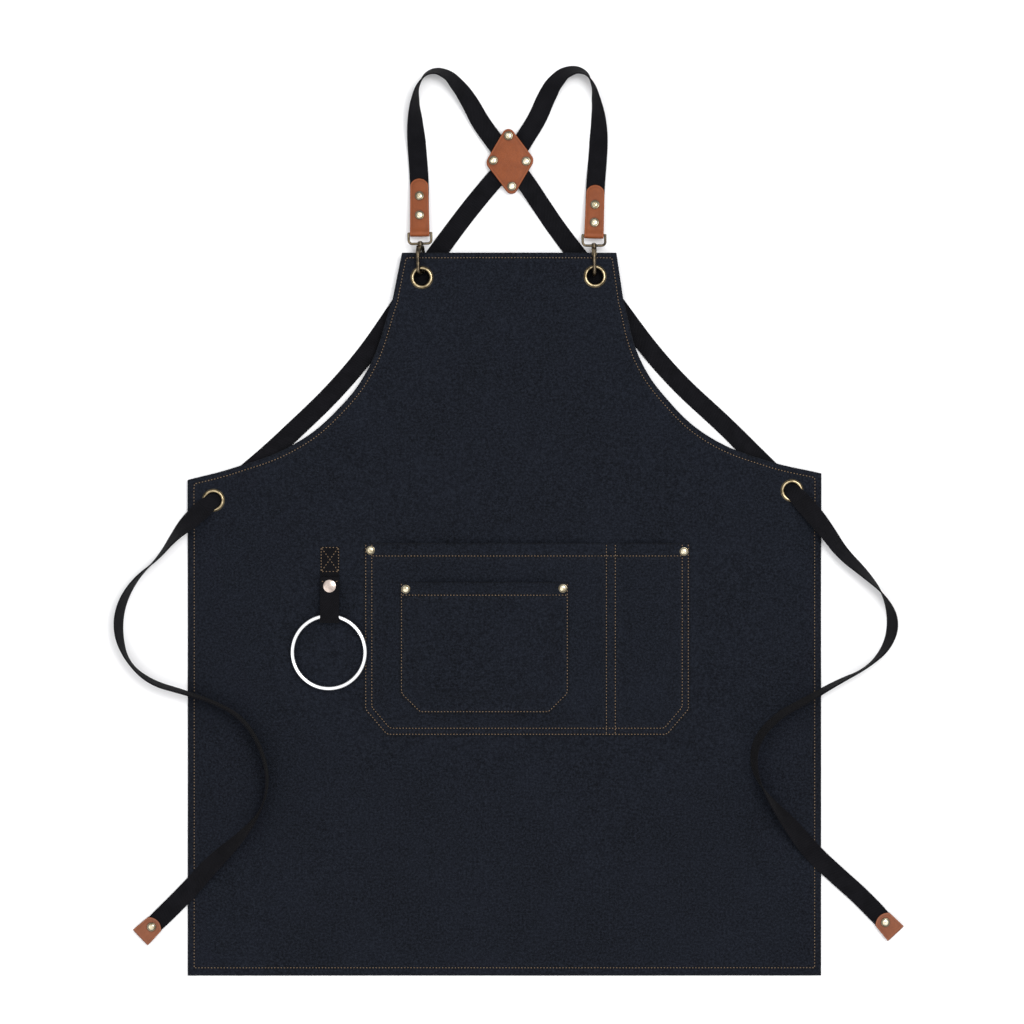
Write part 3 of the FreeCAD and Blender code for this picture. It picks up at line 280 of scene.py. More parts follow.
def webbing_material():
    """Black cotton webbing in a twill weave, faded brown-grey on its high threads."""
    shader = Shader("webbing", Sheen_Weight=0.02, Sheen_Roughness=0.5, Specular_IOR_Level=0.08)
    along = shader.place(uv=True)
    twill = shader.waves(shader.place(uv=True, turn=math.radians(32)), 0.0016, 0.6)
    ribs = shader.waves(shader.place(uv=True, turn=math.radians(90)), 0.0009)
    fuzz = shader.noise(along, 1500.0, 3.0, 0.65)
    patches = shader.spread(shader.noise(along, 60.0, 3.0), 0.35, 0.65)
    high = shader.times(shader.spread(twill, 0.35, 1.0), shader.spread(fuzz, 0.35, 0.7))
    colour = shader.layers((0.0021, 0.0021, 0.0030), (patches, (0.0042, 0.0041, 0.0055)),
                           (shader.times(high, 0.42), (0.0195, 0.0188, 0.0220)))
    relief = shader.sum(shader.sum(twill, ribs, 0.5), fuzz, 0.5)
    return shader.finish(colour, shader.spread(fuzz, 0.3, 0.7, 0.95, 0.82), relief, 0.00025, 0.9)


def leather_material(name, face, shade, rough=0.46):
    """Vegetable-tanned leather: pebbled grain, pores, cloudy dye, painted shade in its creases, painted
    highlight with rubbed wear, and a waxed finish.
    """
    shader = Shader(name, Coat_Weight=0.03, Coat_Roughness=0.32, Specular_IOR_Level=0.18)
    flat = shader.place()
    grain = shader.cells(flat, 1300.0)
    pores = shader.spread(shader.noise(flat, 3200.0, 2.0), 0.55, 0.75)
    cloudy = shader.noise(flat, 75.0, 4.0, 0.6)
    creases = shader.noise(shader.place(scale=(500, 160, 300)), 1.0, 4.0, 0.6)
    colour = shader.layers(
        face, (shader.spread(cloudy, 0.32, 0.68), shade),
        (shader.spread(grain, 0.1, 0.75, 0.30, 0.0), toned(shade, 0.45)),
        (shader.times(pores, 0.25), toned(shade, 0.4)),
        # painted shade in creases, round rivets and along folds; then painted highlight, partly rubbed wear,
        # on rims and fold bands
        (shader.attribute("painted_shade"), toned(shade, 0.32)),
        (shader.attribute("wear_and_highlight"), [channel * 1.5 + 0.02 for channel in face]))
    relief = shader.sum(shader.sum(grain, creases, 0.7), pores, -0.4)
    roughness = shader.spread(creases, 0.3, 0.7, rough + 0.08, rough - 0.07)
    return shader.finish(colour, roughness, relief, 0.00018, 0.7)


def metal_material(name, bright, dark, share, rough):
    """Plated or aged metal: darker in cloudy patches of patina, with painted shade in its recesses and on its
    flanks that leaves its crests bright.
    """
    shader = Shader(name, Metallic=1.0)
    flat = shader.place()
    patina = shader.noise(flat, 170.0, 3.0, 0.55)
    fine = shader.noise(flat, 2600.0, 3.0, 0.6)
    # the second layer is painted shade in recesses and on flanks, given per vertex
    colour = shader.layers(bright, (shader.spread(patina, *share), dark),
                           (shader.attribute("painted_shade"), toned(dark, 0.25)))
    roughness = shader.spread(shader.sum(patina, fine, 0.4), 0.50, 0.90, *rough)
    return shader.finish(colour, roughness, fine, 0.00002, 0.4)


def thread_material(name, pale, dark):
    """Waxed sewing thread: two plies twisted round each other."""
    shader = Shader(name, Sheen_Weight=0.2, Specular_IOR_Level=0.35)
    plies = shader.waves(shader.place(uv=True, turn=math.radians(40)), 0.0007)
    fuzz = shader.noise(shader.place(), 1800.0, 2.0)
    colour = shader.layers(dark, (shader.spread(shader.sum(plies, fuzz, 0.6), 0.4, 1.2), pale))
    return shader.finish(colour, shader.spread(fuzz, 0.3, 0.7, 0.75, 0.55), plies, 0.0002, 0.8)


def floor_material():
    """Plain white table top with the faintest mottling."""
    shader = Shader("floor", Specular_IOR_Level=0.1)
    cloudy = shader.noise(shader.place(), 3.0, 3.0)
    colour = shader.layers((0.90, 0.90, 0.90), (cloudy, (0.93, 0.93, 0.93)))
    return shader.finish(colour, shader.spread(cloudy, 0.3, 0.7, 0.8, 0.9))


# ---- meshes -------------------------------------------------------------------------------
def new_object(name, data):
    thing = bpy.data.objects.new(name, data)
    bpy.context.scene.collection.objects.link(thing)
    return thing


def new_piece(name, vertices, faces, materials, uvs=None, slots=None, wear_and_highlight=None, painted_shade=None):
    """Smooth-shaded mesh object; uvs, shares of wear with painted highlight, and shares of painted shade are
    given per vertex.
    """
    mesh = bpy.data.meshes.new(name)
    mesh.from_pydata([tuple(v) for v in vertices], [], faces)
    for material in materials:
        mesh.materials.append(material)
    mesh.polygons.foreach_set("use_smooth", [True] * len(mesh.polygons))
    if slots is not None:
        mesh.polygons.foreach_set("material_index", slots)
    if uvs is not None:
        layer = mesh.uv_layers.new(name="weave")
        corner_vertices = np.zeros(len(mesh.loops), dtype=np.int32)
        mesh.loops.foreach_get("vertex_index", corner_vertices)
        layer.data.foreach_set("uv", np.asarray(uvs, dtype=np.float32)[corner_vertices].ravel())
    # per-vertex attributes: rubbed wear with painted highlight, and painted shade
    for label, values in (("wear_and_highlight", wear_and_highlight), ("painted_shade", painted_shade)):
        if values is not None:
            mesh.attributes.new(label, "FLOAT", "POINT").data.foreach_set("value", values)
    mesh.update()
    return new_object(name, mesh)


def spline_points(name, controls, kind="NURBS"):
    """Points along a smooth spline: a NURBS takes them as control points, a BEZIER passes through."""
    curve = bpy.data.curves.new(name, "CURVE")
    curve.dimensions = "3D"
    curve.resolution_u = 24
    spline = curve.splines.new(kind)
    knots = spline.points if kind == "NURBS" else spline.bezier_points
    knots.add(len(controls) - 1)
    for knot, control in zip(knots, controls):
        if kind == "NURBS":
            knot.co = (*control, 1.0)
        else:
            knot.co = control
            knot.handle_left_type = knot.handle_right_type = "AUTO"
    if kind == "NURBS":
        spline.order_u = 3
        spline.use_endpoint_u = True
    carrier = bpy.data.objects.new(name, curve)
    mesh = bpy.data.meshes.new_from_object(carrier)
    points = [v.co.copy() for v in mesh.vertices]
    bpy.data.objects.remove(carrier)
    bpy.data.curves.remove(curve)
    bpy.data.meshes.remove(mesh)
    return points


def distances(points):
    """Length along a line of points up to each of them."""
    steps = [0.0] + [(b - a).length for a, b in zip(points, points[1:])]
    return np.cumsum(steps)


def evenly(points, spacing, *others):
    """The line resampled at even steps, with other values given per point resampled alongside."""
    lengths = distances(points)
    count = max(2, round(lengths[-1] / spacing) + 1)
    at = np.linspace(0.0, lengths[-1], count)
    table = np.array([tuple(p) for p in points])
    even = [Vector(row) for row in np.stack([np.interp(at, lengths, column) for column in table.T], 1)]
    return [even, at] + [np.interp(at, lengths, np.asarray(values)) for values in others]


# cross-section of webbing as shares of its half width and half thickness: selvedge, groove, field
WEB_SECTION = [(-1.0, 0.0), (-0.985, 0.55), (-0.945, 0.90), (-0.885, 0.94), (-0.83, 0.72), (-0.76, 0.90),
               (-0.64, 0.94), (-0.51, 0.94), (-0.385, 0.94), (-0.255, 0.94), (-0.13, 0.94), (0.0, 0.94)]
WEB_SECTION += [(-share, height) for share, height in reversed(WEB_SECTION[:-1])]
RIB_PITCH = 0.0026
RIB_HEIGHT = 0.10               # share of the half thickness
SELVEDGE_LOOP = 0.022           # how far the weft's turns stand out, as a share of the half width


def webbing(name, points, rolls, widths, thickness, materials, spacing=0.00086):
    """Woven strap along a line of points; its field is raised in offset rows like a coarse weave."""
    centres, at, rolls, widths = evenly(points, spacing, rolls, widths)
    count = len(WEB_SECTION)
    loop = 2 * count - 2
    vertices, uvs = [], []
    for i, centre in enumerate(centres):
        heading = (centres[min(i + 1, len(centres) - 1)] - centres[max(i - 1, 0)]).normalized()
        side = Vector((0, 0, 1)).cross(heading).normalized()
        above = heading.cross(side)
        across = side * math.cos(rolls[i]) + above * math.sin(rolls[i])
        normal = heading.cross(across)
        phase = 2 * math.pi * at[i] / RIB_PITCH
        for k in range(loop):
            top = k < count
            share, height = WEB_SECTION[k if top else loop - k]
            if 0.05 < height and abs(share) < 0.8:
                height += RIB_HEIGHT * math.sin(phase + (k % 2) * math.pi)
            if abs(share) > 0.9:
                share *= 1 + SELVEDGE_LOOP * (i % 2)
            offset = across * (share * widths[i] / 2)
            offset += normal * (height * thickness / 2 * (1 if top else -1))
            vertices.append(centre + offset)
            uvs.append((share * widths[i] / 2 + (0 if top else WEB_WIDTH * 2), at[i]))
    faces = []
    for i in range(len(centres) - 1):
        for k in range(loop):
            a, b = i * loop + k, i * loop + (k + 1) % loop
            faces.append((a, a + loop, b + loop, b))
    faces.append(tuple(range(loop)))
    faces.append(tuple(range(len(vertices) - 1, len(vertices) - loop - 1, -1)))
    return new_piece(name, vertices, faces, materials, uvs)


def half_height(roll):
    """From the middle of rolled webbing down to its lower face or edge."""
    return WEB_WIDTH / 2 * abs(math.sin(roll)) + WEB / 2 * abs(math.cos(roll))


def laid(x, y, floor, degrees):
    return Vector((x, y, floor + half_height(math.radians(degrees))))


EDGE_STEP = 0.001               # spacing of points along the lines that distances are taken to
CELL = 0.002                    # square in which points look for others that are too close


def edge_points(edge, spacing):
    """Evenly spaced points along one edge of an outline, its last point left to the next edge."""
    line = [Vector((x, y, 0)) for x, y in edge]
    even = evenly(line, spacing)[0]
    return np.array([(p.x, p.y) for p in even[:-1]])


def sideways(line, last):
    """Unit normals to the left of a line that goes on to a last point."""
    tangent = np.concatenate([line[1:], [last]]) - line
    tangent /= np.maximum(np.linalg.norm(tangent, axis=1, keepdims=True), 1e-9)
    return np.stack([-tangent[:, 1], tangent[:, 0]], 1)


def inset(edges, depths):
    """An outline moved inwards by a depth for each edge, trimmed where neighbours meet."""
    dense = [edge_points(edge, EDGE_STEP) for edge in edges]
    kept = []
    for i, (points, depth) in enumerate(zip(dense, depths)):
        moved = points + depth * sideways(points, edges[i][-1])
        clear = np.ones(len(moved), bool)
        for j, (other, other_depth) in enumerate(zip(dense, depths)):
            gap = np.linalg.norm(moved[:, None] - other[None], axis=2).min(1)
            clear &= gap > min(depth if i == j else other_depth, other_depth) * 0.985
        kept.append(moved[clear])
    return np.concatenate(kept)


def inside(points, outline):
    """Which points lie in a closed outline."""
    a, b = outline, np.roll(outline, -1, axis=0)
    x, y = points[:, :1], points[:, 1:]
    spans = (a[:, 1] > y) != (b[:, 1] > y)
    with np.errstate(divide="ignore", invalid="ignore"):
        crossing = a[:, 0] + (y - a[:, 1]) * (b[:, 0] - a[:, 0]) / (b[:, 1] - a[:, 1])
    return (spans & (x < crossing)).sum(1) % 2 == 1


def search_tree(points):
    """Tree that finds the nearest of many 2-D points."""
    tree = kdtree.KDTree(len(points))
    for i, (x, y) in enumerate(points):
        tree.insert((x, y, 0), i)
    tree.balance()
    return tree


def nearest(points, targets):
    """Distance from each 2-D point to the nearest target point."""
    tree = search_tree(targets)
    return np.array([tree.find((x, y, 0))[2] for x, y in points])


def surface(points, heights):
    """Function that gives the height of the point nearest to a place."""
    tree = search_tree(points)
    return lambda x, y: heights[tree.find((x, y, 0))[1]]


def noise_at(points, scale_x, scale_y, layer):
    """Smooth noise at 2-D points, another pattern for each layer."""
    return np.array([noise.noise(Vector((x * scale_x, y * scale_y, layer))) for x, y in points])


def circle(x, y, radius, count):
    turns = np.linspace(0, 2 * math.pi, count, endpoint=False)
    return np.stack([x + radius * np.cos(turns), y + radius * np.sin(turns)], 1)


def flat_cut(edges, pitch, depths=(), lines=(), holes=()):
    """Triangles over an outline, finer along its edge and along lines; gives points and faces.

    depths are distances in from the edge that get their own rows of points, and holes are
    (x, y, radius).
    """
    step = min(pitch, 0.004)
    outline = np.concatenate([edge_points(edge, step) for edge in edges])
    fixed = [outline] + [circle(*hole, 48) for hole in holes]
    every = max(1, round(step / EDGE_STEP))
    extra = [inset(edges, [depth] * len(edges))[::every] for depth in depths]
    for x, y, radius in holes:
        extra += [circle(x, y, radius + wider, 40) for wider in (0.0006, 0.0018, 0.0035, 0.006)]
    for line in lines:
        normal = sideways(line, line[-1] * 2 - line[-2])
        extra += [(line + normal * shift)[::3] for shift in (0.0, 0.0011, -0.0011, 0.0024, -0.0024)]
    low, high = outline.min(0), outline.max(0)
    columns, rows = np.ceil((high - low) / pitch).astype(int)
    across, up = np.linspace(low[0], high[0], columns), np.linspace(low[1], high[1], rows)
    extra.append(np.stack(np.meshgrid(across, up), -1).reshape(-1, 2))
    cells = {}
    chosen = []

    def cell(x, y):
        return int(x // CELL), int(y // CELL)

    def keep(x, y):
        cells.setdefault(cell(x, y), []).append((x, y))
        chosen.append((x, y))

    def crowded(x, y, gap):
        i, j = cell(x, y)
        return any((x - u) ** 2 + (y - v) ** 2 < gap * gap
                   for di in (-1, 0, 1) for dj in (-1, 0, 1) for u, v in cells.get((i + di, j + dj), ()))

    for x, y in np.concatenate(fixed):
        keep(x, y)
    closest = 0.0006 if pitch > 0.002 else 0.0003
    for group in extra:
        near = closest if group is not extra[-1] else min(0.0018, pitch * 0.45)
        for x, y in group[inside(group, outline)]:
            if not crowded(x, y, near):
                keep(x, y)
    rim = []
    start = 0
    for group in fixed:
        rim += [(start + k, start + (k + 1) % len(group)) for k in range(len(group))]
        start += len(group)
    result = geometry.delaunay_2d_cdt([Vector(p) for p in chosen], rim, [], 1, 1e-7, False)
    points = np.array([tuple(p) for p in result[0]])
    faces = []
    centres = np.array([points[list(face)].mean(0) for face in result[2]])
    for face, centre, within in zip(result[2], centres, inside(centres, outline)):
        if within and all(math.hypot(centre[0] - x, centre[1] - y) > radius for x, y, radius in holes):
            a, b, c = (points[k] for k in face[:3])
            clockwise = (b[0] - a[0]) * (c[1] - a[1]) < (b[1] - a[1]) * (c[0] - a[0])
            faces.append(tuple(reversed(face)) if clockwise else tuple(face))
    return points, faces, np.concatenate([edge_points(edge, EDGE_STEP) for edge in edges])


def thick(name, points, faces, lower, upper, materials, wear_and_highlight, painted_shade, bend=None):
    """Closed piece between two height fields over the same triangles, bent afterwards if asked.

    With two materials the second goes on its cut edges, the walls.
    """
    count = len(points)
    vertices = [(x, y, z) for field in (upper, lower) for (x, y), z in zip(points, field)]
    closed = list(faces) + [tuple(k + count for k in reversed(face)) for face in faces]
    sides = {(a, b) for face in faces for a, b in zip(face, face[1:] + face[:1])}
    walls = sorted((a, a + count, b + count, b) for a, b in sides if (b, a) not in sides)
    uvs = slots = None
    if len(materials) > 1:
        uvs = [v[:2] for v in vertices]
        slots = [0] * len(closed) + [1] * len(walls)
    if bend:
        vertices = bend(vertices)
    return new_piece(name, vertices, closed + walls, materials, uvs, slots,
                     np.tile(wear_and_highlight, 2), np.tile(painted_shade, 2))


def stitches(name, lines, height, materials):
    """Rows of separate stitches, each a short round of thread bedded in the cloth."""
    vertices, faces, uvs = [], [], []
    around, rings = 6, (-1.0, -0.82, -0.35, 0.35, 0.82, 1.0)
    girth = (0.15, 0.75, 1.0, 1.0, 0.75, 0.15)
    for line in lines:
        flat = [Vector((x, y, 0)) for x, y in line]
        total = distances(flat)[-1]
        even = evenly(flat, total / max(1, round(total / STITCH_PITCH)))[0]
        for a, b in zip(even, even[1:]):
            heading = (b - a).normalized()
            side = Vector((-heading.y, heading.x, 0))
            centre = (a + b) / 2
            swing = random.uniform(-0.05, 0.05)
            first = len(vertices)
            for reach, share in zip(rings, girth):
                along = reach * STITCH_LENGTH / 2
                x = centre.x + heading.x * along + side.x * swing * along
                y = centre.y + heading.y * along + side.y * swing * along
                z = height(x, y) + THREAD_R * (0.5 - 1.8 * reach ** 4)
                for k in range(around):
                    turn = 2 * math.pi * k / around
                    out = side * math.cos(turn) * THREAD_R * share
                    vertices.append((x + out.x, y + out.y, z + math.sin(turn) * THREAD_R * share))
                    uvs.append((k / around * 0.0022, along))
            for r in range(len(rings) - 1):
                for k in range(around):
                    a0, a1 = first + r * around + k, first + r * around + (k + 1) % around
                    faces.append((a0, a1, a1 + around, a0 + around))
            faces.append(tuple(first + k for k in reversed(range(around))))
            faces.append(tuple(first + (len(rings) - 1) * around + k for k in range(around)))
    return new_piece(name, vertices, faces, materials, uvs)


def lathe(name, profile, centre, materials, painted_shade=None, segments=72):
    """Closed ring turned about Z through a centre from a loop of (radius, height) pairs."""
    count = len(profile)
    vertices, faces = [], []
    for s in range(segments):
        turn = 2 * math.pi * s / segments
        vertices += [centre + Vector((r * math.cos(turn), r * math.sin(turn), z)) for r, z in profile]
        here, ahead = s * count, (s + 1) % segments * count
        pairs = [(k, (k + 1) % count) for k in range(count)]
        faces += [(here + a, here + b, ahead + b, ahead + a) for a, b in pairs]
    return new_piece(name, vertices, faces, materials, painted_shade=painted_shade and painted_shade * segments)


def solid_clouds(node):
    """Corner points of each separate solid of a CAD node."""
    owner = list(range(len(node.data.vertices)))

    def root(i):
        while owner[i] != i:
            owner[i] = owner[owner[i]]
            i = owner[i]
        return i

    for edge in node.data.edges:
        a, b = (root(i) for i in edge.vertices)
        owner[max(a, b)] = min(a, b)
    groups = {}
    for i, vertex in enumerate(node.data.vertices):
        groups.setdefault(root(i), []).append(node.matrix_world @ vertex.co)
    return [np.array(groups[key]) for key in sorted(groups)]


# ---- camera, light and floor --------------------------------------------------------------
VIEW_SPAN = 1.100               # width of the view at the apron, in metres
LENS = 100.0
SENSOR = 36.0
VIEW_CENTRE = (0.0081, 0.0094)


def make_camera():
    """Straight down from high above, the bib at the top."""
    data = bpy.data.cameras.new("camera")
    data.lens = LENS
    data.sensor_width = SENSOR
    camera = new_object("camera", data)
    camera.location = (*VIEW_CENTRE, VIEW_SPAN * LENS / SENSOR)
    bpy.context.scene.camera = camera


def area_light(name, place, size, power):
    """Soft box that points at the origin."""
    data = bpy.data.lights.new(name, "AREA")
    data.shape = "RECTANGLE"
    data.size, data.size_y = size
    data.energy = power
    light = new_object(name, data)
    light.location = place
    light.rotation_euler = (-Vector(place)).to_track_quat("-Z", "Y").to_euler()


def make_studio():
    """White floor under one wide soft box from the upper right, a weak fill and pale surroundings."""
    area_light("key", (1.0, 0.8, 2.8), (1.3, 1.3), 40.0)
    area_light("fill", (-1.6, -1.2, 2.6), (2.6, 2.4), 16.0)
    world = bpy.data.worlds.new("studio")
    world.use_nodes = True
    tree = world.node_tree
    direction = tree.nodes.new("ShaderNodeTexCoord")
    split = tree.nodes.new("ShaderNodeSeparateXYZ")
    ramp = tree.nodes.new("ShaderNodeValToRGB")
    tree.links.new(direction.outputs["Generated"], split.inputs["Vector"])
    tree.links.new(split.outputs["Z"], ramp.inputs["Fac"])
    tree.links.new(ramp.outputs["Color"], tree.nodes["Background"].inputs["Color"])
    low, high = ramp.color_ramp.elements
    low.position, low.color = 0.0, (0.08, 0.08, 0.09, 1)
    high.position, high.color = 0.72, (1.22, 1.22, 1.24, 1)
    bpy.context.scene.world = world
    reach, z = 8.0, -0.0004
    corners = [(-reach, -reach, z), (reach, -reach, z), (reach, reach, z), (-reach, reach, z)]
    new_piece("floor", corners, [(0, 1, 2, 3)], [floor_material()])
    bpy.context.scene.view_settings.view_transform = "Standard"


# ---- waist ties and shoulder straps -------------------------------------------------------
def tie_line(name, route):
    """The tie's spline, with the roll and the height of its lower edge at each of its points."""
    path = spline_points(name, [laid(*entry) for entry in route])
    twist = spline_points(name, [(math.radians(roll), floor, 0) for *_, floor, roll in route])
    line = [Vector((p.x, p.y, max(p.z, t.y + half_height(t.x)))) for p, t in zip(path, twist)]
    return path, line, [t.x for t in twist]


def through_grommet(side):
    """Webbing points from behind a side grommet up through its hole, with their widths."""
    hole = middle(side + "_side_eyelet")
    heading = GROMMET_HEADING[side]
    return [(Vector((hole.x + past * math.cos(heading), hole.y + past * math.sin(heading), z)), width)
            for past, z, width in THROUGH_GROMMET]


def make_tie(side, route, materials):
    path, line, rolls = tie_line(side + "_tie", route)
    lead = [through_grommet(side)[-1][0]]
    tip_run = (line[-1] - line[-3]).normalized()
    inside_tip = line[-1] + Vector((tip_run.x, tip_run.y, 0)) * 0.005
    inside_tip.z = line[-1].z = middle(side + "_tie_tip").z
    points = lead + line[2:] + [inside_tip]
    lengths = distances(points)
    widths = np.interp(lengths, [0.0, 0.022, lengths[-1] - 0.012, lengths[-1]],
                       [0.0195, WEB_WIDTH, WEB_WIDTH, WEB_WIDTH - 0.001])
    rolls = rolls[:1] + rolls[2:] + rolls[-1:]
    piece = webbing(side + "_tie_webbing", points, rolls, widths, WEB, materials)
    stand_in(piece, side + "_waist_tie")
    return piece, path


def tab_point(side, along, height=0.0):
    """Point on a hook tab's middle plane, measured from the D-loop's bar."""
    yaw = HOOK_TABS[side]["yaw"]
    forward = along * math.cos(TAB_TILT) - height * math.sin(TAB_TILT)
    x, y = BAR[side]
    return Vector((x - forward * math.sin(yaw), y + forward * math.cos(yaw),
                   HOOK_AXIS_Z + along * math.sin(TAB_TILT) + height * math.cos(TAB_TILT)))


def make_strap(side, route, grommet, materials):
    """Webbing from a hook's tab over the shoulder, under the patch and out of the far grommet."""
    length = HOOK_TABS[side]["length"]
    start = [tab_point(side, along) for along in (0.006, length / 2, length - 0.004)]
    end = through_grommet(grommet)
    controls = start + [laid(*entry) for entry in route] + [point for point, width in end]
    rolls = [0, 0, 0] + [entry[3] for entry in route] + [route[-1][3]] * len(end)
    widths = [WEB_WIDTH] * (len(controls) - len(end)) + [width for point, width in end]
    line = spline_points(side, controls, "BEZIER")
    per_run = (len(line) - 1) / (len(controls) - 1)
    places = np.arange(len(line)) / per_run
    knots = np.arange(len(controls))
    rolls = np.radians(np.interp(places, knots, rolls))
    kernel = np.ones(17) / 17
    rolls = np.convolve(np.pad(rolls, 8, mode="edge"), kernel, mode="valid")
    for point, roll in zip(line, rolls):
        point.z = max(point.z, half_height(roll)) if point.y > 0.36 else point.z
    widths = np.interp(places, knots, widths)
    piece = webbing("strap_webbing_from_" + side, line, rolls, widths, WEB, materials)
    stand_in(piece, "strap_from_" + side + "_hook")


# ---- leather ------------------------------------------------------------------------------
def leather_blank(length, near, far, end_r, fold_arc):
    """Edges of a flat strap that folds in half: both ends rounded, widest at the fold."""
    half = length + fold_arc / 2
    crown_r = (far * far / 4 + end_r * end_r) / (2 * end_r)
    spread = math.asin(min(1.0, far / 2 / crown_r))
    turns = [spread * (1 - 2 * k / 12) for k in range(13)]
    top = [(crown_r * math.sin(t), half - crown_r + crown_r * math.cos(t)) for t in turns]
    bottom = [(-x, -y) for x, y in top]
    corner = half - end_r
    return [[(far / 2, -corner), (near / 2, 0), (far / 2, corner)],
            top, [(-far / 2, corner), (-near / 2, 0), (-far / 2, -corner)], bottom]


def folded(vertices, inner_r, thickness, gap, bulge=0.006):
    """Bend a flat blank round a bar on X: its outer face is up before the fold."""
    middle_r = inner_r + thickness / 2
    flat_z = gap / 2 + thickness / 2
    arc = math.pi * middle_r
    result = []
    for x, s, h in vertices:
        side = 1 if s >= 0 else -1
        past = abs(s) - arc / 2
        if past <= 0:
            angle = s / middle_r
            r = middle_r + h
            result.append((x, -r * math.cos(angle), r * math.sin(angle)))
        else:
            z = middle_r + smoothstep(past, 0.0, bulge) * (flat_z - middle_r)
            result.append((x, past, side * (z + h)))
    return result


def edge_shade(points, depth, spots):
    """Painted shade on leather: a dark line in the crease along its edge, darker at its very edge, and a
    shadowed ring round each rivet.
    """
    shade = 0.30 * ridge(depth - CREASE, 0.0006) + 0.35 * (1 - smoothstep(depth, 0.0, 0.0005))
    for x, y in spots:
        reach = np.hypot(points[:, 0] - x, points[:, 1] - y)
        shade = np.maximum(shade, 0.42 * ridge(reach - 0.0050, 0.0007))
    return shade


def leather_cut(edges, pitch):
    """Triangles over a leather outline, each point's depth in from the edge, and its round-off."""
    points, faces, edge_line = flat_cut(edges, pitch, (0.00025, 0.0006, 0.0009, 0.0014, 0.0022, 0.0030))
    depth = nearest(points, edge_line)
    return points, faces, depth, smoothstep(depth, 0.0, 0.0006)


def leather_strap(name, place, materials, length, near, far, end_r, inner_r, thickness, rivets):
    """Folded leather piece set in place; rivets, given by their distance from the fold, press it in.

    near and far are its widths at the fold and at its ends, end_r rounds its corners, and inner_r is
    the radius of what it is folded round.
    """
    arc = math.pi * (inner_r + thickness / 2)
    spots = [(0, sign * (along + arc / 2)) for along in rivets for sign in (1, -1)]
    points, faces, depth, round_off = leather_cut(leather_blank(length, near, far, end_r, arc), 0.0012)
    x, y = points.T
    press = sum(ridge((x - spot_x) ** 2 + (y - spot_y) ** 2, 0.0062 ** 2) for spot_x, spot_y in spots)
    bow = 0.00022 * (1 - press) * smoothstep(depth, 0.0005, 0.0035) - 0.0001 * ridge(depth - CREASE, 0.0005)
    upper = thickness / 2 * (0.25 + 0.75 * round_off) + bow
    lower = -thickness / 2 * (0.45 + 0.55 * round_off)
    # painted highlight with some rubbed wear: a pale line just inside the edge and a pale band on each side
    # of the fold's round
    wear_and_highlight = 0.30 * ridge(depth - 0.0009, 0.0005) + 0.22 * ridge(np.abs(y) - arc * 0.42, 0.0012)
    # painted shade: the edge crease, a ring round each rivet and a dark line along the bottom of the fold
    painted_shade = edge_shade(points, depth, spots) + 0.45 * ridge(y, 0.0012)
    piece = thick(name, points, faces, lower, upper, materials, wear_and_highlight, painted_shade,
                  lambda flat: folded(flat, inner_r, thickness, TAB_GAP))
    piece.data.transform(place)
    return piece


def make_hook_tabs(leather, leather_edge):
    for side in SIDES:
        tab = HOOK_TABS[side]
        place = (Matrix.Translation((*BAR[side], HOOK_AXIS_Z)) @ Matrix.Rotation(tab["yaw"], 4, "Z")
                 @ Matrix.Rotation(TAB_TILT, 4, "X"))
        piece = leather_strap(side + "_tab_leather", place, [leather, leather_edge], length=tab["length"],
                              near=0.0209, far=0.0195, end_r=0.0070, inner_r=0.00185, thickness=LEATHER,
                              rivets=tab["rivets"])
        stand_in(piece, side + "_hook_tab")


def make_tie_tip(side, route, leather, leather_edge):
    """Leather folded over the end of a tie."""
    before, last = laid(*route[-2]), laid(*route[-1])
    heading = math.atan2(last.y - before.y, last.x - before.x)
    fold = last + Vector((math.cos(heading), math.sin(heading), 0)) * TIP_REACH
    fold.z = middle(side + "_tie_tip").z
    place = Matrix.Translation(fold) @ Matrix.Rotation(heading + math.pi / 2, 4, "Z")
    piece = leather_strap(side + "_tip_leather", place, [leather, leather_edge], length=0.024, near=0.0234,
                          far=0.0206, end_r=0.0050, inner_r=TAB_GAP / 2, thickness=TIP_LEATHER,
                          rivets=(0.0148,))
    stand_in(piece, side + "_tie_tip")
    return piece


def patch_edges():
    """Rhombus with rounded tips."""
    centre = middle("cross_patch_front")
    half_length, half_width, tip_r, side_r = 0.0346, 0.0251, 0.0065, 0.0075
    tips = [((0, half_length - tip_r), tip_r), ((side_r - half_width, 0), side_r),
            ((0, tip_r - half_length), tip_r), ((half_width - side_r, 0), side_r)]
    outline = []
    for i, ((x, y), r) in enumerate(tips):
        (bx, by), br = tips[i - 1]
        (ax, ay), ar = tips[(i + 1) % 4]
        arriving = math.atan2(y - by, x - bx) - math.pi / 2 + math.asin((br - r) / math.hypot(x - bx, y - by))
        leaving = math.atan2(ay - y, ax - x) - math.pi / 2 + math.asin((r - ar) / math.hypot(ax - x, ay - y))
        while leaving < arriving:
            leaving += 2 * math.pi
        for k in range(9):
            turn = arriving + (leaving - arriving) * k / 8
            outline.append((x + r * math.cos(turn), y + r * math.sin(turn)))
    turned = [(centre.x + x * math.cos(PATCH_YAW) - y * math.sin(PATCH_YAW),
               centre.y + x * math.sin(PATCH_YAW) + y * math.cos(PATCH_YAW)) for x, y in outline]
    return turned, centre


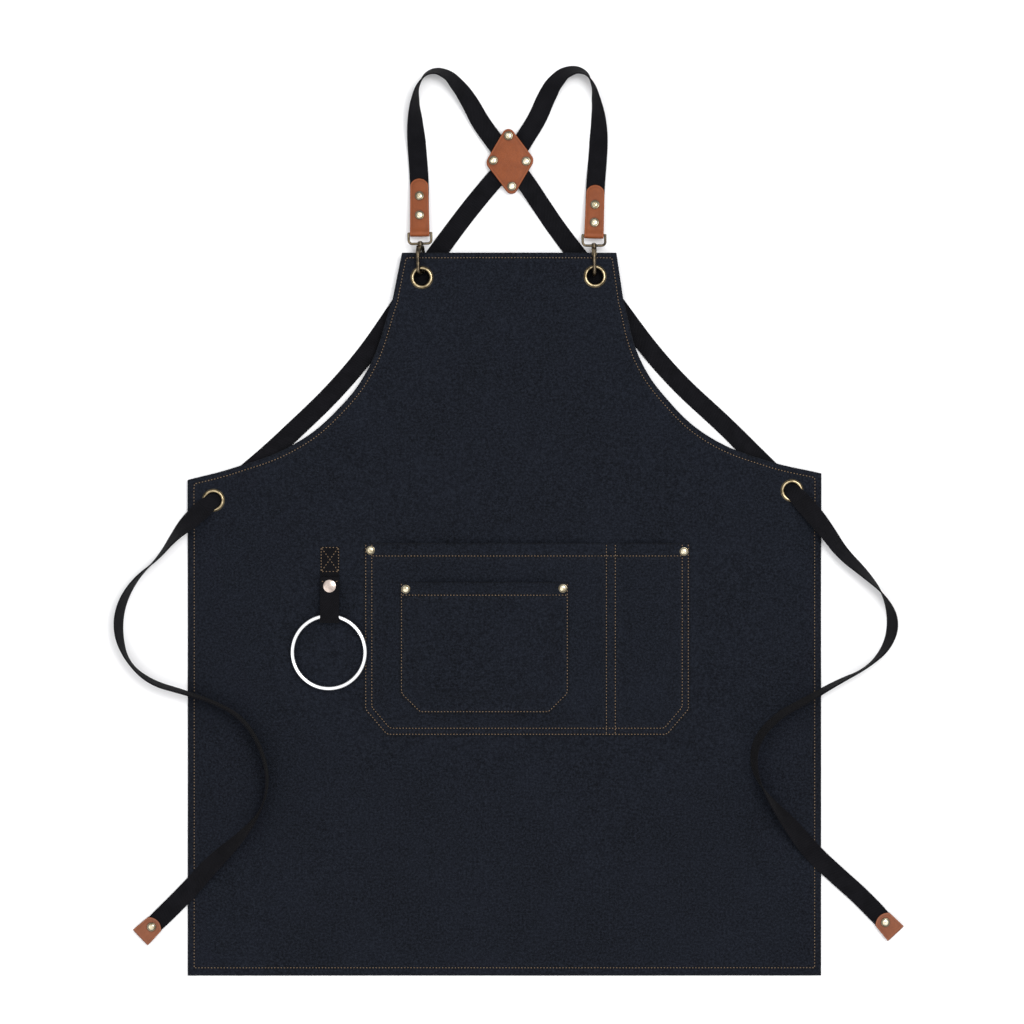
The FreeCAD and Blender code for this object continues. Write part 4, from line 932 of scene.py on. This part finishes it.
def make_patch(leather, leather_edge):
    outline, centre = patch_edges()
    points, faces, depth, round_off = leather_cut([outline + outline[:1]], 0.0013)
    clouds = solid_clouds(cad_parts["cross_patch_rivet_caps"])
    spots = [(cloud.min(0) + cloud.max(0))[:2] / 2 for cloud in clouds]
    reach = np.hypot(points[:, 0] - centre.x, points[:, 1] - centre.y)
    bow = 0.0005 * (1 - smoothstep(reach, 0.006, 0.026)) - 0.00012 * ridge(depth - CREASE, 0.0005)
    shape = LEATHER / 2 * (0.35 + 0.65 * round_off)
    # painted highlight with some rubbed wear: a pale line just inside the edge
    wear_and_highlight = 0.30 * ridge(depth - 0.0009, 0.0005)
    # painted shade: the edge crease and a ring round each rivet
    painted_shade = edge_shade(points, depth, spots)
    for layer in ("front", "back"):
        node = "cross_patch_" + layer
        mid = middle(node).z
        upper = mid + shape + bow * (layer == "front")
        piece = thick("patch_leather_" + layer, points, faces, mid - shape, upper, [leather, leather_edge],
                      wear_and_highlight, painted_shade)
        stand_in(piece, node)


# ---- denim --------------------------------------------------------------------------------
def panel_edges():
    """The panel's outline, anticlockwise from the hem's left corner, one list for each edge."""
    low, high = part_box("apron_panel")
    left_hip, right_hip = (low.x, LEFT_ARMHOLE[-1][1]), (high.x, RIGHT_ARMHOLE[-1][1])

    def curved(points):
        line = spline_points("armhole", [(x, y, 0) for x, y in points], "BEZIER")
        return [(p.x, p.y) for p in line]

    return [[(low.x, low.y), (high.x, low.y)], [(high.x, low.y), right_hip],
            curved(RIGHT_ARMHOLE[::-1]), [RIGHT_ARMHOLE[0], BIB_CORNERS[1]],
            [BIB_CORNERS[1], BIB_CORNERS[0]], [BIB_CORNERS[0], LEFT_ARMHOLE[0]],
            curved(LEFT_ARMHOLE), [left_hip, (low.x, low.y)]]


PANEL_SEAMS = [HEM_SEAM, SIDE_SEAM, ARMHOLE_SEAM, TOP_SEAM, TOP_SEAM, TOP_SEAM, ARMHOLE_SEAM, SIDE_SEAM]


def panel_under(y):
    """Height of the panel's underside: flat skirt, lifted at the hips and more at the bib."""
    at_hips = HIP_LIFT * smoothstep(y, -0.018, 0.010)
    return at_hips + (BIB_LIFT - HIP_LIFT) * np.interp(y, [0.06, 0.24], [0, 1])


def stillness(x, y):
    """1 in the open cloth, 0 where something is fixed to it or rests on it."""
    calm = np.ones(len(x))
    for node in EYELETS + ["large_pocket", "ring_tab_back", "towel_ring"]:
        low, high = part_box(node)
        gap = np.hypot(np.maximum(np.maximum(low.x - x, x - high.x), 0),
                       np.maximum(np.maximum(low.y - y, y - high.y), 0))
        calm *= smoothstep(gap, 0.006, 0.050)
    return calm


def ripples(x, y):
    """Low, irregular swells of cloth that was folded and laid out again."""
    swell = 0.5 + 0.5 * noise_at(zip(x, y), 5.0, 3.6, 2.3)
    crease = noise_at(zip(x * 14.0 + y * 4.0, y * 9.0 - x * 3.0), 1, 1, 7.1)
    return 0.0016 * swell + 0.0006 * crease


def panel_low(x, y):
    return panel_under(y) + np.maximum(ripples(x, y), 0) * stillness(x, y)


def make_panel(denim, thread):
    edges = panel_edges()
    seam = inset(edges, PANEL_SEAMS)
    centres = [middle(node) for node in EYELETS]
    depths = (0.0005, 0.0014, 0.0028, 0.0042, 0.0060, 0.0078, 0.0092, 0.0106, 0.0124, 0.0145)
    points, faces, edge_line = flat_cut(edges, 0.0070, depths, [seam],
                                        [(centre.x, centre.y, EYELET_HOLE) for centre in centres])
    depth = nearest(points, edge_line)
    from_seam = nearest(points, seam)
    low = panel_low(*points.T)
    roping = noise_at(points, 160, 160, 0.4)
    fold = 0.00045 * (1 - smoothstep(depth, 0.0108, 0.0128))
    fold += 0.00016 * roping * (1 - smoothstep(depth, 0.006, 0.012))
    dip = 0.00055 * ridge(from_seam, 0.0011)
    round_off = smoothstep(depth, 0.0, 0.0012)
    upper = low + DENIM * (0.45 + 0.55 * round_off) + (fold - dip) * smoothstep(depth, 0.0, 0.002)
    lower = low + DENIM * 0.2 * (1 - round_off)
    # rubbed wear only: paler denim on the ridge beside the seam
    wear_and_highlight = 0.05 * ridge(from_seam - 0.0022, 0.0012) * (1 + roping)
    # painted shade: dark in the seam's groove, standing also for indigo less rubbed there, and dark along the
    # cut edge
    painted_shade = 0.55 * ridge(from_seam, 0.0009) + 0.35 * (1 - smoothstep(depth, 0.0, 0.0022))
    piece = thick("apron_cloth", points, faces, lower, upper, [denim], wear_and_highlight, painted_shade)
    stand_in(piece, "apron_panel")
    closed_seam = np.concatenate([seam, seam[:1]])
    sewing = stitches("panel_topstitching", [closed_seam], surface(points, upper), [thread])
    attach(sewing, "apron")


def pocket_edges(node, chamfer):
    low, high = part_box(node)
    cut_x, cut_y = chamfer
    corners = [(low.x, high.y), (low.x, low.y + cut_y), (low.x + cut_x, low.y), (high.x - cut_x, low.y),
               (high.x, low.y + cut_y), (high.x, high.y)]
    return [list(pair) for pair in zip(corners, corners[1:] + corners[:1])]


def straight(start, end):
    a, b = np.array(start), np.array(end)
    count = max(2, round(np.linalg.norm(b - a) / EDGE_STEP))
    return a + (b - a) * np.linspace(0, 1, count)[:, None]


def make_pocket(node, chamfer, base, border, seams, divider, seed, denim, thread, under):
    """Patch pocket: turned and topstitched edge, hemmed mouth standing a little open."""
    low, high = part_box(node)
    edges = pocket_edges(node, chamfer)
    lines = []
    for depth in seams:
        around = inset(edges, [depth] * 5 + [0.0006])
        lines.append(around[around[:, 1] < high.y - 0.0009])
    mouth_y = high.y - MOUTH_SEAM
    lines.append(straight((low.x + seams[-1], mouth_y), (high.x - seams[-1], mouth_y)))
    lines += [straight((x, high.y - 0.0012), (x, low.y + 0.002)) for x in divider]
    depths = (0.0004, 0.0011, 0.0032, 0.0050, 0.0068, 0.0102, 0.0116, 0.0130)
    points, faces, edge_line = flat_cut(edges, 0.0055, depths, lines)
    x, y = points.T
    from_sewn = nearest(points, np.concatenate([edge_points(edge, EDGE_STEP) for edge in edges[:5]]))
    from_edge = nearest(points, edge_line)
    from_seam = nearest(points, np.concatenate(lines))
    open_share = smoothstep(from_sewn, border, border + 0.013)
    if divider:
        off_divider = np.maximum(np.abs(x - sum(divider) / 2) - 0.0085, 0)
        open_share *= smoothstep(off_divider, 0.0, 0.013)
    slack = noise_at(points, 11, 9, seed)
    puff = POCKET_PUFF * open_share * (1 + 0.16 * slack * smoothstep(y, high.y - 0.040, high.y))
    lie = base + puff + 0.0003 * slack * open_share * (0 if under else 1)
    turned_in = 0.00042 * (1 - smoothstep(from_sewn, 0.0102, 0.0118))
    mouth_hem = 0.00055 * (1 - smoothstep(high.y - y, MOUTH_SEAM + 0.001, MOUTH_SEAM + 0.0026))
    roping = noise_at(points, 170, 170, seed + 3)
    relief = np.maximum(turned_in, mouth_hem) + 0.00013 * roping * (from_edge < 0.012)
    relief -= 0.00050 * ridge(from_seam, 0.0011)
    round_off = smoothstep(from_edge, 0.0, 0.0011)
    upper = lie + POCKET_DENIM * (0.45 + 0.55 * round_off) + relief * smoothstep(from_edge, 0.0, 0.0018)
    # rubbed wear only: paler denim on the ridge beside the seams
    wear_and_highlight = 0.09 * ridge(from_seam - 0.0022, 0.0012) * (1 + 1.4 * roping)
    # painted shade: dark in the seams' grooves, standing also for indigo less rubbed there, and dark along
    # the pocket's edge
    painted_shade = 0.60 * ridge(from_seam, 0.0009) + 0.60 * (1 - round_off)
    piece = thick(node + "_cloth", points, faces, lie, upper, [denim], wear_and_highlight, painted_shade)
    stand_in(piece, node)
    sewing = stitches(node + "_topstitching", lines, surface(points, upper), [thread])
    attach(sewing, "apron")


# ---- grommets -----------------------------------------------------------------------------
def make_eyelets(brass):
    """Rolled brass eyelets: painted shade in the funnel and under the outer lip, none on the crest."""
    half = DENIM / 2
    profile = [(0.00800, -0.0016), (0.00800, 0.0002), (0.00825, 0.0009), (0.00875, 0.00145), (0.0093, 0.0018),
               (0.0099, 0.0020), (0.0105, 0.00195), (0.0110, 0.00165), (0.0114, 0.0012), (0.01175, 0.0009),
               (0.0121, 0.00078), (0.0122, 0.00068), (0.0121, half), (0.0091, half), (0.0091, -half - 0.0008),
               (0.0097, -half - 0.0009), (0.0100, -0.0017), (0.0095, -0.0019), (0.0082, -0.0019)]
    # painted shade for each profile point: dark in the funnel and on the outer flank, none on the crest
    painted_shade = [1.0, 1.0, 0.95, 0.85, 0.45, 0.05, 0.0, 0.35, 0.8, 0.85, 0.6, 0.8] + [1.0] * 7
    for node in EYELETS:
        centre = middle(node)
        centre.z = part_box(node)[0].z - min(z for radius, z in profile)
        stand_in(lathe(node + "_brass", profile, centre, [brass], painted_shade), node)


# ---- rivets -------------------------------------------------------------------------------
CAP = [(0.00002, 0.00138), (0.0011, 0.00134), (0.0021, 0.00118), (0.0029, 0.00092), (0.0034, 0.00064),
       (0.00365, 0.00042), (0.0038, 0.00030), (0.0042, 0.00036), (0.00455, 0.00030), (0.00472, 0.00014),
       (0.00472, 0.0), (0.00002, 0.0)]
CAP_SEGMENTS = 40
# painted shade for each profile point: darker down the dome's flank, in the sunk ring and on the rim
CAP_PAINTED_SHADE = [0.0, 0.0, 0.05, 0.20, 0.60, 0.95, 1.0, 0.75, 0.85, 1.0, 1.0, 1.0]


def make_rivet_caps(rivet):
    """Domed caps with painted shade down their flanks and in the sunk ring, one on each cap of a CAD group
    and square to it.
    """
    for name in [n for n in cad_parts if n.endswith("rivet_caps")]:
        vertices, faces = [], []
        clouds = solid_clouds(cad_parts[name])
        for cloud in clouds:
            axis = Vector(np.linalg.eigh(np.cov((cloud - cloud.mean(0)).T))[1][:, 0])
            axis *= 1 if axis.z > 0 else -1
            centre = Vector((cloud.min(0) + cloud.max(0)) / 2)
            reach = (cloud - np.array(centre)) @ np.array(axis)
            seat = Matrix.Translation(centre + axis * reach.min())
            seat @= axis.to_track_quat("Z", "Y").to_matrix().to_4x4()
            cap = lathe("cap", CAP, Vector((0, 0, 0)), [rivet], segments=CAP_SEGMENTS)
            faces += [tuple(len(vertices) + k for k in f.vertices) for f in cap.data.polygons]
            vertices += [seat @ v.co for v in cap.data.vertices]
            bpy.data.objects.remove(cap)
        piece = new_piece(name + "_domes", vertices, faces, [rivet],
                          painted_shade=CAP_PAINTED_SHADE * CAP_SEGMENTS * len(clouds))
        stand_in(piece, name)


# ---- ring tab -----------------------------------------------------------------------------
def make_ring_tab(web, thread):
    """Webbing sewn at its top, folded round the ring and snapped back on itself."""
    x = middle("ring_tab_back").x
    back_top, flap_top = (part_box("ring_tab_" + part)[1].y for part in ("back", "flap"))
    fold_low, fold_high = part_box("ring_tab_fold")
    fold_y = fold_high.y
    axis_z = (fold_low.z + fold_high.z) / 2
    fold_r = (fold_high.z - fold_low.z - RING_TAB_WEB) / 2
    sewn = DENIM + RING_TAB_WEB / 2
    loose = axis_z - fold_r
    flap_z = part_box("snap_cap")[0].z + RING_TAB_WEB / 2
    top = axis_z + fold_r
    back = [(back_top, sewn), (-0.040, sewn), (-0.053, sewn), (-0.060, loose), (-0.075, loose),
            (fold_y, loose)]
    flap = [(fold_y, top), (-0.098, top - 0.0001), (-0.091, top - 0.0012), (-0.084, top - 0.0023),
            (-0.078, flap_z), (-0.070, flap_z), (flap_top, flap_z)]
    turns = [math.pi / 2 + math.pi * k / 24 for k in range(25)]
    fold = [(fold_y + fold_r * math.cos(t), axis_z + fold_r * math.sin(t)) for t in reversed(turns)]
    bodies = {"back": "apron", "flap": "ring_flap"}
    for part, line in (("back", back), ("fold", fold), ("flap", flap)):
        points = [Vector((x, y, z)) for y, z in line]
        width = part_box("ring_tab_" + part)
        width = width[1].x - width[0].x
        piece = webbing("ring_tab_webbing_" + part, points, [0] * len(points), [width] * len(points),
                        RING_TAB_WEB, [web], 0.0006)
        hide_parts("ring_tab_" + part)
        if part == "fold":
            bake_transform(piece)
        else:
            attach(piece, bodies[part])
    left, right = x - RING_SEAM_HALF, x + RING_SEAM_HALF
    low, high = RING_SEAM_ENDS
    box = [(left, low), (right, low), (right, high), (left, high), (left, low)]
    lines = [straight(a, b) for a, b in zip(box, box[1:])]
    lines += [straight((left, low), (right, high)), straight((left, high), (right, low))]
    face = sewn + RING_TAB_WEB / 2
    sewing = stitches("ring_tab_box_stitching", lines, lambda a, b: face - 0.00015, [thread])
    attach(sewing, "apron")
    end = stitches("ring_flap_end_stitching", [straight((left, FLAP_SEAM_Y), (right, FLAP_SEAM_Y))],
                   lambda a, b: flap_z + RING_TAB_WEB / 2 - 0.00015, [thread])
    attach(end, "ring_flap")


# ---- metal that keeps its CAD shape ---------------------------------------------------------
def dress(nodes, material, bevel=0.00025):
    """Give CAD nodes a material, and their sharp edges a small round."""
    for name in nodes:
        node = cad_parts[name]
        node.data.materials.clear()
        node.data.materials.append(material)
        node.data.polygons.foreach_set("use_smooth", [True] * len(node.data.polygons))
        if bevel:
            rounding = node.modifiers.new("rounding", "BEVEL")
            rounding.width = bevel
            rounding.segments = 2
            rounding.limit_method = "ANGLE"
            rounding.angle_limit = math.radians(35)
            flats = node.modifiers.new("flats", "WEIGHTED_NORMAL")
            flats.weight = 100
            flats.keep_sharp = True


def make_gate_springs(steel):
    """Spring leaf under each gate, with its foot in the hook."""
    for side in SIDES:
        name = side + "_gate_spring"
        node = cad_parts[name]
        shape = bmesh.new()
        shape.from_mesh(node.data)
        shape.transform(node.matrix_world)
        bmesh.ops.subdivide_edges(shape, edges=shape.edges, cuts=3, use_grid_fill=True)
        vertices = [v.co.copy() for v in shape.verts]
        shape.verts.index_update()
        faces = [tuple(v.index for v in face.verts) for face in shape.faces]
        shape.free()
        piece = new_piece(name + "_leaf", vertices, faces, [steel])
        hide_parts(name)
        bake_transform(piece)


def make_metal(brass, rivet, hook, steel, ring, snap):
    names = list(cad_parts)
    dress([n for n in names if n.endswith("washer")], brass)
    dress([n for n in names if n.endswith("rivet_posts")], rivet)
    dress([n for n in names if n.endswith(("_snap_hook", "_gate", "_d_loop"))], hook)
    dress([n for n in names if n.endswith("_gate_pin")], steel, 0.0001)
    dress(["towel_ring"], ring, 0)
    dress(["snap_stud", "snap_socket", "snap_cap"], snap)


# ---- making -------------------------------------------------------------------------------
random.seed(11)
make_camera()
web = webbing_material()
leather = leather_material("leather", (0.236, 0.061, 0.0165), (0.184, 0.045, 0.0112))
tip_leather = leather_material("tip_leather", (0.245, 0.083, 0.038), (0.188, 0.060, 0.027))
leather_edge = leather_material("leather_edge", (0.13, 0.040, 0.017), (0.09, 0.026, 0.011), 0.6)
ties = {}
for side, route in (("left", LEFT_TIE), ("right", RIGHT_TIE)):
    piece, path = make_tie(side, route, [web])
    tip = make_tie_tip(side, route, tip_leather, leather_edge)
make_studio()
make_strap("left", FROM_LEFT_HOOK, "right", [web])
make_strap("right", FROM_RIGHT_HOOK, "left", [web])

thread = thread_material("topstitch_thread", (0.235, 0.150, 0.075), (0.11, 0.070, 0.036))
denim = denim_material("denim", (0.0026, 0.0032, 0.0054), (0.0140, 0.0175, 0.0265), (0.030, 0.034, 0.046))
make_panel(denim, thread)
make_pocket("large_pocket", LARGE_CHAMFER, DENIM, 0.014, POCKET_SEAMS, POCKET_DIVIDER, 1.7, denim,
            thread, "apron_cloth")
make_pocket("small_pocket", SMALL_CHAMFER, DENIM + POCKET_PUFF + POCKET_DENIM, 0.012, POCKET_SEAMS[:1], (),
            5.2, denim, thread, "")
make_hook_tabs(leather, leather_edge)
make_patch(leather, leather_edge)
make_ring_tab(web, thread)

brass = metal_material("eyelet_brass", (0.53, 0.425, 0.255), (0.20, 0.155, 0.085), (0.40, 0.64), (0.30, 0.18))
rivet = metal_material("rivet_brass", (0.84, 0.77, 0.58), (0.36, 0.30, 0.19), (0.42, 0.60), (0.26, 0.14))
hook = metal_material("hook_brass", (0.150, 0.118, 0.074), (0.045, 0.036, 0.026), (0.35, 0.65), (0.36, 0.22))
steel = metal_material("spring_steel", (0.45, 0.44, 0.42), (0.25, 0.24, 0.22), (0.4, 0.7), (0.4, 0.3))
chrome = metal_material("ring_steel", (0.93, 0.94, 0.94), (0.82, 0.83, 0.84), (0.5, 0.85), (0.18, 0.10))
nickel = metal_material("snap_metal", (0.50, 0.42, 0.37), (0.26, 0.20, 0.17), (0.42, 0.68), (0.28, 0.15))
make_eyelets(brass)
make_rivet_caps(rivet)
make_gate_springs(steel)
make_metal(brass, rivet, hook, steel, chrome, nickel)
